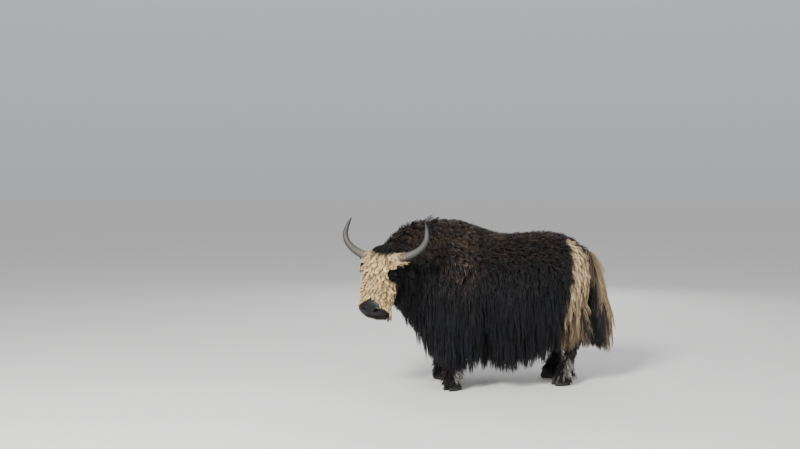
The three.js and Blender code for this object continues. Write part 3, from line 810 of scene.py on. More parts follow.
def leg_marks(points):
    """Share of the white marks on the two left feet."""
    x, y, z = points.T
    left = y < 0
    rough = patchy(points, 34, 12)
    fore = (x < 0) * ramp(z, 96, 110) * ramp(z - 20 * rough, 235, 215)
    fore_mark = ramp(x + 10 * rough, -480, -468) * fore * (0.66 + 0.34 * patchy(points, 19, 14))
    axis = np.interp(z, [100, 290, 385], [493, 549, 581])
    hind = (x > 300) * ramp(z, 100, 114) * ramp(z - 20 * rough, 245, 225)
    hind_mark = ramp(x - axis + 14 * rough, -26, -14) * ramp(x - axis, 40, 28) * hind
    hind_mark = hind_mark * (0.62 + 0.38 * patchy(points, 17, 13))
    return np.where(left, fore_mark + hind_mark, 0)


def markings_and_painted_light(points, heads):
    """Colour of the coat at each point, with painted blue sheen low on the flanks and painted shade low
    on the pale rump.
    """
    x, _, z = points.T
    worn = ramp(z, 900, 1280) * (0.55 + 0.45 * patchy(points, 190, 1))
    # Painted blue sheen, a reflection, low on the flanks
    blue_sheen = ramp(z, 980, 760) * (0.55 + 0.45 * patchy(points, 150, 20))
    colour = mixed(mixed(BLACK, PAINTED_SHEEN_BLUE, blue_sheen), BROWN, worn)
    shoulder = bell(x, -415, 115) * bell(z, 1030, 125)
    hump = bell(x, -430, 260) * ramp(z, 1080, 1280)
    streaks = 0.5 + 0.5 * patchy(points * (1, 1, 0.6), 24, 2)
    flecks = smooth(1.6 * patchy(points, 17, 21) - 0.1)
    colour = mixed(colour, FADED, (0.95 * shoulder + 0.3 * hump) * flecks)
    colour = mixed(colour, RUSSET, ramp(z, 520, 270) * streaks * (z > 130))
    # Pale rump: random streaks of tan, and painted shade that turns it from straw to tan low down
    rump_streaks_and_shade = 0.28 * streaks + 0.72 * ramp(z, 930, 670)
    colour = mixed(colour, mixed(STRAW, TAN, rump_streaks_and_shade), pale_rump(points))
    colour = mixed(colour, WHITE, leg_marks(points))
    on_head = of_head(heads, 1.5)
    colour[on_head] = head_colours(heads)[on_head]
    return colour


def head_colours(heads):
    """Black, pale on the face, brown under the lip and grey on the bare muzzle."""
    x, _, z = heads.T
    jowl = 0.45 * ramp(z, -110, -170)
    face = mixed(CREAM, TAN, 0.15 + 0.14 * patchy(heads, 50, 3) + jowl)
    under_lip = ramp(mouth_height(x) - z, 20, 40) * ramp(x, 380, 400)
    colour = mixed(mixed(BLACK, face, pale_face(heads)), CHIN_BROWN, 0.8 * under_lip)
    return mixed(colour, MUZZLE_GREY, bare_muzzle(heads))


def tail_colours(points, heads):
    """Dark brown inside, with a pale fringe at the back and on the near side of the root."""
    out = unit(points - tail_axis(points[:, 2]))
    rough = 0.5 + 0.5 * patchy(points, 60, 15)
    fringe = ramp(out[:, 0], 0.3, 0.7) * (0.65 + 0.35 * rough)
    high = ramp(points[:, 2] - 90 * patchy(points, 30, 16), 950, 1060) * (0.35 + 0.65 * rough)
    inside, outside = mixed(BLACK, RUSSET, rough), mixed(STRAW, TAN, 0.4 + 0.45 * rough)
    return mixed(inside, outside, fringe + 0.8 * high)


def tail_axis(z):
    """The dock's centre line at a height."""
    table = np.array(TAIL_DOCK[2:], float)[::-1]
    return np.stack([np.interp(z, table[:, 2], table[:, 0]), 0 * z, z], 1)


def paint(made, colours):
    """Stores a colour for each vertex."""
    layer = made.data.color_attributes.new("Coat", "FLOAT_COLOR", "POINT")
    rgba = np.concatenate([colours, np.ones((len(colours), 1))], 1).astype(np.float32)
    layer.data.foreach_set("color", rgba.ravel())


def share_layer(made, name, values):
    """Stores a share for each vertex."""
    layer = made.data.attributes.new(name, "FLOAT", "POINT")
    layer.data.foreach_set("value", values.astype(np.float32))


# Coat
class Field:
    """Places on the skin where hair can root: four on each large face, one on each small one."""

    def __init__(self, skin):
        mesh = skin.data
        vertices = points_of(mesh)
        bends = read(mesh.vertices, "normal", 3).astype(float)
        uv = read(mesh.uv_layers["OFBake"].data, "uv", 2)
        used = read(mesh.loops, "vertex_index", 1, np.int32)
        first = read(mesh.polygons, "loop_start", 1, np.int32)
        last = first + read(mesh.polygons, "loop_total", 1, np.int32) - 1
        corners = np.stack([first, first + 1, first + 2, last])
        large = read(mesh.polygons, "area", 1) > LARGE_FACE * MM * MM
        places = []
        for a, b in [(0.25, 0.25), (0.75, 0.25), (0.75, 0.75), (0.25, 0.75), (0.5, 0.5)]:
            chosen = corners[:, ~large if a == b == 0.5 else large]
            share = np.array([(1 - a) * (1 - b), a * (1 - b), a * b, (1 - a) * b])
            at_corners = (vertices[used[chosen]], bends[used[chosen]], uv[chosen])
            places.append([np.einsum("k,knc->nc", share, values) for values in at_corners])
        self.points, normals, self.uv = (np.concatenate(kind) for kind in zip(*places))
        self.normals = unit(normals)
        self.heads = into_head(self.points)
        faces = [tuple(face.vertices) for face in mesh.polygons]
        self.tree = BVHTree.FromPolygons(vertices.tolist(), faces)
        self.part = self.parts()

    def parts(self):
        """A name for the part of the body at each place."""
        x, _, z = self.points.T
        names = np.full(len(self.points), "trunk", dtype="U8")
        names[z < LEG_TOP] = "leg"
        apart = np.linalg.norm(self.points - tail_axis(z), axis=1)
        names[(x > TAIL_START) | ((x > 700) & (apart < 52) & (z > 1040))] = "tail"
        names[of_head(self.heads, 1.3) | near_eye(self.heads, 75)] = "head"
        for side in (-1, 1):
            root, out, _, _ = ear_axes(side)
            reach = (self.heads - root) @ out
            off = np.linalg.norm(self.heads - root - reach[:, None] * out, axis=1)
            names[(reach > 26) & (off < 56) & ~of_head(self.heads, 1.06)] = f"ear{side}"
        return names

    def pushed(self, points, distance):
        """The points, moved out until they are a distance off the skin."""
        for i, (point, least) in enumerate(zip(points, distance)):
            spot, normal, _, apart = self.tree.find_nearest(Vector(point), least + 60)
            if spot is None:
                continue
            height = apart if (Vector(point) - spot).dot(normal) > 0 else -apart
            if height < least:
                points[i] = spot + normal * least
        return points


def tree_of(points):
    """The points, ready to be looked up by place."""
    tree = KDTree(len(points))
    for i, point in enumerate(points):
        tree.insert(point, i)
    tree.balance()
    return tree


def thinned(points, spacing, dice):
    """Which of the points to keep so that they are about spacing apart."""
    order = dice.permutation(len(points))
    tree = tree_of(points)
    free = np.ones(len(points), bool)
    kept = []
    for i in order:
        if free[i]:
            kept.append(i)
            for _, j, _ in tree.find_range(points[i], spacing):
                free[j] = False
    return np.array(kept)


def nearest_of(points, guides):
    """Number of the guide nearest to each point."""
    tree = tree_of(points[guides])
    return np.array([tree.find(point)[1] for point in points])


def combed(field, roots, out, lie, length, lift, weight, rings):
    """The path of each hair: it bends with its weight and stays clear of the skin."""
    step = (length / rings)[:, None]
    path = [roots - 3 * out]
    heading = unit(lie)
    for k in range(1, rings + 1):
        heading = unit(heading + weight * DOWN)
        share = min(1, 1.7 * k / rings)
        after = field.pushed(path[-1] + heading * step, lift * share + 1)
        heading = unit(heading + unit(after - path[-1]))
        path.append(after)
    return np.stack(path, 1)


def gathered(path, guides, owner, strength, spread, closed):
    """Draws a clump's hairs together along their length, to a spread of their roots' distance."""
    far = np.clip(np.linspace(0, 1, path.shape[1]) / closed, 0, 1) ** 1.2
    share = (strength[:, None] * far)[..., None]
    middle = path[guides][owner]
    aside = (path[:, :1] - middle[:, :1]) * spread
    return path + share * (middle + aside - path)


def waved(path, out, height, wavelength, owner, dice):
    """Waves along each hair, nearly in step within a clump."""
    way = unit(np.gradient(path, axis=1))
    across = unit(np.cross(way, out[:, None]))
    run = np.cumsum(np.linalg.norm(np.diff(path, axis=1, prepend=path[:, :1]), axis=2), axis=1)
    own = dice.uniform(0, 1, (3, owner.max() + 1))[:, owner, None]
    phase = own[0] * 2 * math.pi + dice.normal(0, 0.35, (len(owner), 1))
    turn = (phase + run * (2 * math.pi / wavelength) * (0.75 + 0.6 * own[1]))[..., None]
    begun = np.minimum(1, run / (0.5 * wavelength))
    whole = np.minimum(1, run[:, -1:] / (1.3 * wavelength))
    size = (height * (0.5 + own[2]) * begun * whole)[..., None]
    aside, lift = size * np.sin(turn), 0.4 * size * np.cos(turn)
    return path + aside * across + lift * np.cross(across, way)


def off_horn(heads):
    """From the line of the nearer horn's root to each place, and how far along it."""
    side = np.where(heads[..., 1] < 0, -1.0, 1.0)
    near = heads.copy()
    near[..., 1] *= side
    run = (near - HORN_ROOT) @ HORN_WAY
    return near - HORN_ROOT - run[..., None] * HORN_WAY, run, side


def clear_of_horns(path, dice):
    """Draws hair that would run into a horn's root over it instead."""
    heads = into_head(path)
    apart, run, side = off_horn(heads)
    reach = np.linalg.norm(apart, axis=-1)
    least = HORN_HAIR["inner"] + 2 + dice.uniform(0, HORN_HAIR["over"], (len(path), 1))
    inside = (np.abs(run) < HORN_HAIR["reach"]) & (reach < least)
    move = unit(apart) * np.where(inside, least - reach, 0)[..., None]
    move[..., 1] *= side
    return from_head(heads + move)


def above_hem(path):
    """Shortens what hangs below the hem."""
    under = along(HEM, path[..., 0]) - path[..., 2]
    return path + (np.maximum(under, 0) * 0.7)[..., None] * (0, 0, 1)


def tuft_pattern(rings):
    """Faces of one three-sided tuft, and each face corner's place across and along it."""
    faces, places = [(2, 1, 0)], [[(0.5, 0.0)] * 3]
    for r in range(rings):
        low, high = r / rings, (r + 1) / rings
        for k in range(3):
            n = (k + 1) % 3
            left, right = k / 3, (k + 1) / 3
            if r < rings - 1:
                faces.append((3 * r + k, 3 * r + n, 3 * r + 3 + n, 3 * r + 3 + k))
                places.append([(left, low), (right, low), (right, high), (left, high)])
            else:
                faces.append((3 * r + k, 3 * r + n, 3 * rings))
                places.append([(left, low), (right, low), ((k + 0.5) / 3, 1.0)])
    return faces, places


def tuft_mesh(name, path, out, width, look, colours, uv, dice):
    """Joins one tapered solid tuft for each path."""
    count, rings = path.shape[0], path.shape[1] - 1
    t = np.linspace(0, 1, rings + 1)[:-1]
    swell = (0.7 + 0.3 * np.minimum(1, 4 * t)) * (1 - t**2.4) ** 0.7
    way = unit(np.gradient(path, axis=1))[:, :-1]
    across = unit(np.cross(way, out[:, None]))
    flat = np.cross(across, way)
    twist = dice.normal(0, look["twist"], count)[:, None, None]
    first = across * np.cos(twist) + flat * np.sin(twist)
    second = flat * np.cos(twist) - across * np.sin(twist)
    half = (width[:, None] / 2 * swell)[..., None]
    corners = []
    for k in range(3):
        angle = 2 * math.pi * (k + 0.25) / 3
        aside = math.cos(angle) * first + look["thick"] * math.sin(angle) * second
        corners.append(path[:, :-1] + half * aside)
    ring_points = np.stack(corners, 2).reshape(count, rings * 3, 3)
    vertices = np.concatenate([ring_points, path[:, -1:]], 1)
    faces, places = tuft_pattern(rings)
    one, spots = np.concatenate(faces), np.concatenate(places)
    loops = (one[None] + (rings * 3 + 1) * np.arange(count)[:, None]).ravel()
    totals = np.tile([len(face) for face in faces], count)
    mesh = bpy.data.meshes.new(name)
    mesh.vertices.add(count * (rings * 3 + 1))
    mesh.vertices.foreach_set("co", to_row(vertices).astype(np.float32).ravel())
    mesh.loops.add(len(loops))
    mesh.loops.foreach_set("vertex_index", loops.astype(np.int32))
    mesh.polygons.add(len(totals))
    mesh.polygons.foreach_set("loop_start", (np.cumsum(totals) - totals).astype(np.int32))
    mesh.update(calc_edges=True)
    shift = dice.uniform(0, 50, count)[:, None, None] * (1, 0)
    for layer, each in (("OFBake", uv[:, None] + (spots - 0.5) * PATCH), ("Strand", spots + shift)):
        mesh.uv_layers.new(name=layer).data.foreach_set("uv", each.astype(np.float32).ravel())
    made = placed(name, mesh)
    paint(made, colours.reshape(-1, 3))
    mesh.shade_smooth()
    return made


# The look of a piece of the coat, where it doesn't say otherwise
LOOK = {
    "seed": 11,
    "rings": 4,
    "thick": 0.5,
    "twist": 0.5,
    # How the hair leaves the skin, and how much it hangs
    "lift": 12,
    "stand": 0.25,
    "flat": 1,
    "weight": 0.25,
    "scatter": 0.25,
    "uneven": 0.15,
    # Clumps: their spacing, and how far and where along them the hairs come together
    "gather": 36,
    "clump": 0.5,
    "spread": 0.2,
    "closed": 1,
    "wave": 0,
    "wavelength": 60,
    # What the hair keeps clear of
    "hem": False,
    "horns": False,
    # Painted shade darkens each hair towards its root; tip is its end's brightness, partly paler real
    # tips and partly painted light; tone varies it at random
    "root_shade": 0.55,
    "tip": 1.08,
    "tone": 0.16,
    "colours": markings_and_painted_light,
}


def coat(field, slot, material, name, where, spacing, width, lie, length, **look):
    """One piece of the coat: solid tufts that root where the mask says."""
    look = {**LOOK, **look}
    dice = np.random.default_rng(look["seed"])
    chosen = np.flatnonzero(where)
    chosen = chosen[thinned(field.points[chosen], spacing, dice)]
    points, out, heads = field.points[chosen], field.normals[chosen], field.heads[chosen]
    guides = thinned(points, look["gather"], dice)
    owner = nearest_of(points, guides)
    count = len(points)
    turn = dice.normal(0, look["scatter"], (len(guides), 3))[owner]
    heading = unit(lie(points, heads)) + turn + dice.normal(0, 0.07, points.shape)
    rise = look["flat"] * np.sum(heading * out, 1, keepdims=True)
    heading = unit(heading - out * rise) + look["stand"] * out
    uneven = 1 + dice.uniform(-1, 1, len(guides))[owner] * look["uneven"]
    long = length(points, heads) * uneven * dice.uniform(*OWN_LENGTH, count)
    lift = look["lift"](points, heads) if callable(look["lift"]) else look["lift"]
    lift = lift * dice.uniform(*OWN_LIFT, count)
    path = combed(field, points, out, heading, long, lift, look["weight"], look["rings"])
    clump = look["clump"] * np.minimum(1, long / (2.5 * look["gather"]))
    path = gathered(path, guides, owner, clump, look["spread"], look["closed"])
    if look["wave"]:
        path = waved(path, out, look["wave"], look["wavelength"], owner, dice)
    if look["hem"]:
        path = above_hem(path)
    if look["horns"]:
        path = clear_of_horns(path, dice)
    wide = width * dice.uniform(*OWN_WIDTH, count)
    # Painted shade from each tuft's root out to its tip, which is partly paler hair and partly painted
    # light
    far = np.linspace(0, 1, look["rings"] + 1) ** 0.6
    shade = look["root_shade"] + (look["tip"] - look["root_shade"]) * far
    shade = np.append(np.repeat(shade[:-1], 3), shade[-1])[:, None]
    tone = 1 + dice.normal(0, look["tone"], count) + dice.normal(0, look["tone"], len(guides))[owner]
    colour = look["colours"](points, heads) * np.clip(tone, 0.4, 1.7)[:, None]
    made = tuft_mesh(name, path, out, wide, look, colour[:, None] * shade, field.uv[chosen], dice)
    made.data.materials.append(material)
    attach(made, "root")
    print(name, count, "tufts", count * (6 * look["rings"] - 2), "triangles")


# Lie and length of the coat
def body_lie(points, heads):
    x, y, z = points.T
    side = np.sign(y)
    back = np.stack([0.9 + 0 * x, 0.4 * side, -0.45 + 0 * x], 1)
    parting = np.clip((x - HOLLOW["x"]) / 60, -1, 1) * bell(x, HOLLOW["x"], 190)
    lean = 0.14 + 0.09 * parting * ramp(z, HOLLOW["top"], HOLLOW["floor"])
    fall = np.stack([lean, 0.1 * side, -1 + 0 * x], 1)
    return back + ramp(z, 1170, 970)[:, None] * (fall - back)


def tail_lie(points, heads):
    out = unit(points - tail_axis(points[:, 2])) * (1, 1, 0)
    return DOWN + 0.22 * out


def face_lie(points, heads):
    x, y, _ = heads.T
    face = np.stack([1 + 0 * x, y / 260, 0.1 + 0 * x], 1)
    poll = np.stack([0.35 + 0 * x, y / 200, 0.9 + 0 * x], 1)
    way = face + ramp(x, 8, -18)[:, None] * (poll - face)
    return way @ HEAD_FRAME[:3, :3].T


def horn_lie(points, heads):
    """Out along the horn and a little in towards it."""
    apart, _, side = off_horn(heads)
    way = HORN_WAY - 0.25 * unit(apart)
    way[:, 1] *= side
    return way @ HEAD_FRAME[:3, :3].T


def horn_hair_length(points, heads):
    return np.where(heads[:, 1] > 0, HORN_HAIR["left"], HORN_HAIR["right"]).astype(float)


def steady(value):
    """The same lie or length at every place."""
    return lambda points, heads: np.broadcast_to(value, (len(points), *np.shape(value)))


def ear_lie(side):
    return steady(ear_axes(side)[1] @ HEAD_FRAME[:3, :3].T + 0.35 * DOWN)


def body_length(points, heads):
    """Hair length on the trunk and neck: to the hem from the lower flanks, short on the back."""
    x, _, z = points.T
    to_hem = z - along(HEM, x)
    fore = 70 * ramp(x, -600, -720) * ramp(z, 1330, 1130) * ramp(z, 700, 900)
    length = along(FLANK_LENGTH, z) + fore
    length = np.where(z < 690, to_hem * 1.08, length)
    length = length * (1 - 0.5 * hollow(points) ** 3 * ramp(z, 600, 660))
    return np.clip(length, 34, np.maximum(to_hem * 1.08, 60))


def crest(points):
    """Share of the hump's shaggy front and top."""
    x, y, z = points.T
    return ramp(x, -590, -680) * ramp(z, 1180, 1300) * ramp(np.abs(y + 20), 150, 60)


def hump_length(points, heads):
    return 62 + 26 * crest(points)


def hump_lift(points, heads):
    return 30 + 21 * crest(points)


def flank_lift(points, heads):
    """Height of the coat off the skin, with a hollow behind the elbow."""
    return along(FLANK_LIFT, points[:, 2]) * (1 - 0.85 * hollow(points))


def leg_length(points, heads):
    """Long shaggy hair on the fore legs, shorter on the hind ones."""
    return np.where(points[:, 0] < 0, 78, 46) * ramp(points[:, 2], 90, 200) + 16


def foot_length(points, heads):
    """Down over the hooves, and clear of the floor."""
    return np.minimum(86, points[:, 2] - 14)


def leg_lift(points, heads):
    return np.where(points[:, 0] < 0, 42, 20) * ramp(points[:, 2], 40, 90)


def tail_lift(points, heads):
    return np.interp(points[:, 2], [700, 1050], [26, 10])


def face_lift(points, heads):
    """The hair stands further out on the sides of the head than on its front."""
    side = ramp(np.abs(heads[:, 1]), 60, 120) * ramp(heads[:, 0], 400, 310)
    return 5 + 11 * ramp(heads[:, 0], 440, 380) + np.where(heads[:, 1] > 0, 12, 22) * side


def eye_room(heads):
    """Shortens the hair round the eyes, in a wider ring round the left one."""
    apart = heads * (1, 0, 1) + np.abs(heads) * (0, 1, 0) - (EYE["x"], EYE["y"], EYE["z"])
    reach = np.where(heads[:, 1] > 0, 90, 40)
    return 0.2 + 0.8 * ramp(np.linalg.norm(apart, axis=1), 30, 30 + reach)


def tail_length(points, heads):
    z = points[:, 2]
    return np.clip(along(TAIL_LENGTH, z), 60, z - 232)


def face_length(points, heads):
    return along(FACE_LENGTH, heads[:, 0]) * eye_room(heads)


def cheek_length(points, heads):
    return (14 + 38 * ramp(heads[:, 0], 400, 350)) * eye_room(heads)


def beard_length(points, heads):
    """Long beside the left corner of the mouth, shorter on the right."""
    return along(BEARD_LENGTH, heads[:, 0]) * np.where(heads[:, 1] > 0, 1, 0.5)


def chin_length(points, heads):
    """Shorter hair towards the lips."""
    return np.interp(heads[:, 0], [440, 500], [60, 30])


# Materials
class Nodes:
    """The nodes of a new material or world: a socket that is given as a value is linked."""

    def __init__(self, owner, end="Principled BSDF"):
        owner.use_nodes = True
        self.owner = owner
        self.tree = owner.node_tree
        self.last = self.tree.nodes[end]

    def put(self, socket, value):
        if isinstance(value, bpy.types.NodeSocket):
            self.tree.links.new(value, socket)
        else:
            socket.default_value = value

    def fill(self, made, values):
        for name, value in values.items():
            socket = name.replace("_", " ")
            if socket in made.inputs:
                self.put(made.inputs[socket], value)
            else:
                setattr(made, name, value)

    def add(self, kind, out=0, **values):
        """A new node's output."""
        made = self.tree.nodes.new("ShaderNode" + kind)
        self.fill(made, values)
        return made.outputs[out]

    def end_with(self, **values):
        """Fills the last node's own sockets."""
        self.fill(self.last, values)
        return self.owner

    def attribute(self, name, out="Fac"):
        return self.add("Attribute", out, attribute_name=name)

    def stretched(self, place, scale):
        return self.add("Mapping", Vector=place, Scale=scale)

    def noise(self, place, scale, detail, roughness):
        return self.add("TexNoise", Vector=place, Scale=scale, Detail=detail, Roughness=roughness)

    def ranged(self, source, low, high, full=1.0):
        """The source's 0 to full, changed to low to high."""
        return self.add("MapRange", Value=source, From_Max=full, To_Min=low, To_Max=high)

    def math(self, operation, *values):
        made = self.tree.nodes.new("ShaderNodeMath")
        made.operation = operation
        for socket, value in zip(made.inputs, values):
            self.put(socket, value)
        return made.outputs[0]

    def scaled(self, colour, factor):
        return self.add("VectorMath", operation="SCALE", Vector=colour, Scale=factor)

    def bump(self, height, strength, distance):
        return self.add("Bump", Height=height, Strength=strength, Distance=distance)

    def tones(self, source, stops):
        """Colours by the source, from stops of a place and a colour."""
        made = self.tree.nodes.new("ShaderNodeValToRGB")
        self.put(made.inputs["Fac"], source)
        elements = made.color_ramp.elements
        elements.remove(elements[1])
        elements[0].position = stops[0][0]
        elements[0].color = (*stops[0][1], 1)
        for place, colour in stops[1:]:
            elements.new(place).color = (*colour, 1)
        return made.outputs["Color"]


def hair_material(name, roughness, sheen):
    """Fine streaks along each tuft, over its own colour."""
    hair = Nodes(bpy.data.materials.new(name))
    strand = hair.stretched(hair.add("UVMap", uv_map="Strand"), (9, 0.9, 1))
    streaks = hair.noise(strand, 1.0, 3.0, 0.7)
    return hair.end_with(
        Base_Color=hair.scaled(hair.attribute("Coat", "Color"), hair.ranged(streaks, 0.45, 1.6)),
        Roughness=hair.ranged(streaks, roughness - 0.1, roughness + 0.15),
        Normal=hair.bump(streaks, 0.7, 0.003),
        Specular_IOR_Level=0.25,
        Sheen_Weight=sheen,
        Sheen_Roughness=0.4,
    )


def skin_material():
    """Matt under the hair, with fine pores and a low gloss on the bare muzzle."""
    hide = Nodes(bpy.data.materials.new("hide"))
    place, bare = hide.add("TexCoord", "Object"), hide.attribute("Bare")
    pores = hide.add("TexVoronoi", Vector=place, Scale=330.0)
    grain = hide.noise(place, 60.0, 5.0, 0.65)
    height = hide.add("Mix", data_type="FLOAT", Factor=bare, A=grain, B=pores)
    return hide.end_with(
        Base_Color=hide.scaled(hide.attribute("Coat", "Color"), hide.ranged(grain, 0.7, 1.3)),
        Roughness=hide.ranged(bare, 0.95, 0.42),
        Normal=hide.bump(height, 0.5, hide.ranged(bare, 0.012, 0.0006, 0.3)),
        Specular_IOR_Level=0.2,
    )


def horn_material():
    """Clouded horn with long fibres, darker towards the tip, with painted shade on its underside and
    painted light on its top.
    """
    horn = Nodes(bpy.data.materials.new("horn"))
    cloud = horn.noise(horn.add("TexCoord", "Object"), 22.0, 6.0, 0.65)
    run = horn.math("MULTIPLY_ADD", cloud, 0.34, horn.attribute("Along"))
    lengthwise = horn.stretched(horn.add("UVMap", uv_map="Lengthwise"), (26, 2.2, 1))
    fibres = horn.noise(lengthwise, 1.0, 4.0, 0.7)
    # Painted light on the horn's top and painted shade on its underside
    under = horn.ranged(horn.attribute("PaintedShade"), 1.35, 0.16)
    tone = horn.math("MULTIPLY", horn.ranged(fibres, 0.35, 1.65), under)
    return horn.end_with(
        Base_Color=horn.scaled(horn.tones(run, HORN_TONES), tone),
        Roughness=horn.ranged(cloud, 0.42, 0.65),
        Normal=horn.bump(fibres, 0.5, 0.002),
        Specular_IOR_Level=0.45,
    )


def hoof_material():
    hoof = Nodes(bpy.data.materials.new("hoof"))
    upright = hoof.stretched(hoof.add("TexCoord", "Object"), (60, 60, 9))
    grain = hoof.noise(upright, 1.6, 5.0, 0.6)
    return hoof.end_with(
        Base_Color=hoof.tones(grain, HOOF_TONES),
        Roughness=hoof.ranged(grain, 0.4, 0.7),
        Normal=hoof.bump(grain, 0.4, 0.001),
        Specular_IOR_Level=0.35,
    )


def eye_material():
    """Dark brown iris and a long pupil, by the place on the eyeball."""
    eye = Nodes(bpy.data.materials.new("eye"))
    place = eye.stretched(eye.add("TexCoord", "Object"), (62, 110, 0))
    reach = eye.add("VectorMath", "Value", operation="LENGTH", Vector=place)
    return eye.end_with(
        Base_Color=eye.tones(reach, EYE_TONES),
        Roughness=0.1,
        Specular_IOR_Level=0.12,
        Coat_Weight=0.3,
        Coat_Roughness=0.02,
    )


# Eyes, horns and hooves
def finished(made, node_name, made_material):
    made.data.materials.append(made_material)
    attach(made, "root")
    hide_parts(node_name)


def make_eye(side, name, made_material):
    """An eyeball with the cornea's low swell, its own Z axis out of the head."""
    out, long = (axis @ HEAD_FRAME[:3, :3].T for axis in eye_axes(side)[:2])
    centre = from_head(np.array([EYE["x"], side * EYE["y"], EYE["z"]]))
    radius = (EYE["radius"] - 0.5) * MM
    shape = bmesh.new()
    bmesh.ops.create_uvsphere(shape, u_segments=48, v_segments=32, radius=radius)
    for vertex in shape.verts:
        vertex.co *= 1 + CORNEA["swell"] * float(ramp(vertex.co.z / radius, CORNEA["edge"], 1))
    mesh = bpy.data.meshes.new("eye_" + name)
    shape.to_mesh(mesh)
    shape.free()
    mesh.shade_smooth()
    made = placed("eyeball_" + name, mesh)
    turn = Matrix(np.stack([long, np.cross(out, long), out], 1).tolist()).to_4x4()
    made.matrix_world = Matrix.Translation(to_row(centre)) @ turn
    finished(made, "eye_" + name, made_material)


def make_horn(side, name, made_material):
    """A horn with shallow rings that fade from the base."""
    count, around = HORN_RINGS["count"], HORN_RINGS["around"]
    rings = round_rings([(x, side * y, z, r) for x, y, z, r in HORN], count, around)
    line = rings.mean(1, keepdims=True)
    share = np.linspace(0, 1, count)
    run = share[:, None, None] * HORN_RINGS["length"]
    beat = run * (2 * math.pi / HORN_RINGS["apart"]) + 0.9 * np.sin(run / 31)
    ridge = np.sin(beat) * (1 - ramp(share[:, None, None], 0.15, 0.65))
    rings = line + (rings - line) * (1 + HORN_RINGS["high"] * ridge)
    made = outward(mesh_object("horn_sheath_" + name, [loft(from_head(rings))]))
    length = np.append(np.repeat(share, around), (0, 1))
    # How far each point faces down, for the painted shade under the horn and painted light on its top
    way = unit(from_head(rings) - from_head(line)) @ (0, 0.35, -0.94)
    under = np.append(ramp(way.ravel(), -0.35, 0.75), (0.5, 0.5))
    share_layer(made, "Along", length)
    share_layer(made, "PaintedShade", under)
    lengthwise = made.data.uv_layers.new(name="Lengthwise")
    corner = read(made.data.loops, "vertex_index", 1, np.int32)
    turn = np.append(np.tile(np.abs(np.linspace(-1, 1, around, endpoint=False)), count), (0, 0))
    lengthwise.data.foreach_set("uv", np.stack([turn, length], 1)[corner].astype(np.float32).ravel())
    finished(made, "horn_" + name, made_material)


def make_claw(end, side, half, name, made_material):
    """One claw, with low growth ridges, that ends under the hair of the coronet."""
    foot = FEET[end]
    turn = math.radians(foot["toe_out"])
    t = np.linspace(0, 1, 26)[:, None]
    s, c = circle(36)
    table = np.array(CLAW, float)
    height = t * CORONET["height"]
    long, outer, shift = (np.interp(height, table[:, 0], table[:, k]) for k in (1, 2, 3))
    ridge = 1 + 0.012 * np.sin(height * 0.75) * ramp(height, 12, 24)
    u = shift + bent(c, 2.2) * long * ridge
    wide = np.where(s > 0, outer, CLAW_INNER) * ridge
    v = half * (CLAW_SPACING + bent(s, 2.3) * wide * (1 - 0.22 * smooth(c)))
    z = height * (1 + CORONET["slope"] * u / CORONET["height"] * 0.9)
    sole = 1 - 0.05 * (t < 0.02)
    x = foot["x"] - u * sole * math.cos(turn) + v * math.sin(turn)
    y = foot["y"] + u * sole * math.sin(turn) + v * math.cos(turn)
    made = outward(mesh_object(name.replace("claw", "hoof"), [loft(np.stack([x, side * y, z], -1))]))
    finished(made, name, made_material)


# Stage
def make_stage():
    shape = bmesh.new()
    bmesh.ops.create_circle(shape, cap_ends=True, segments=96, radius=FLOOR_RADIUS)
    mesh = bpy.data.meshes.new("floor")
    shape.to_mesh(mesh)
    shape.free()
    floor = placed("floor", mesh)
    paper = Nodes(bpy.data.materials.new("floor"))
    grain = paper.add("TexNoise", Scale=3.0, Detail=2.0)
    mesh.materials.append(paper.end_with(Base_Color=paper.tones(grain, FLOOR_TONES), Roughness=0.9))
    bpy.context.scene.world = studio()


def studio():
    """Soft light from all round that pales to the floor's own tone low down."""
    world = Nodes(bpy.data.worlds.new("studio"), "Background")
    parts = world.add("SeparateXYZ", "Z", Vector=world.add("TexCoord", "Generated"))
    return world.end_with(Color=(0.96, 0.97, 1.0, 1), Strength=world.ranged(parts, 0.50, 0.66, 0.35))


def lamp(name, place, size, energy):
    light = bpy.data.lights.new(name, "AREA")
    light.shape = "DISK"
    light.size = size
    light.energy = energy
    made = placed(name, light)
    made.location = place
    made.rotation_mode = "QUATERNION"
    made.rotation_quaternion = (Vector(LAMP_AIM) - Vector(place)).to_track_quat("-Z", "Y")


def make_camera():
    """Eye height, at the photo's angle and framing."""
    camera = bpy.data.cameras.new("camera")
    camera.lens = CAMERA["lens"]
    camera.sensor_width = 36
    camera.clip_end = 200
    made = placed("camera", camera)
    made.location = (CAMERA["x"], CAMERA["y"], CAMERA["z"])
    turn, down = math.radians(CAMERA["turn"]), math.radians(CAMERA["down"])
    made.rotation_euler = (math.pi / 2 - down, 0, -turn)
    bpy.context.scene.camera = made


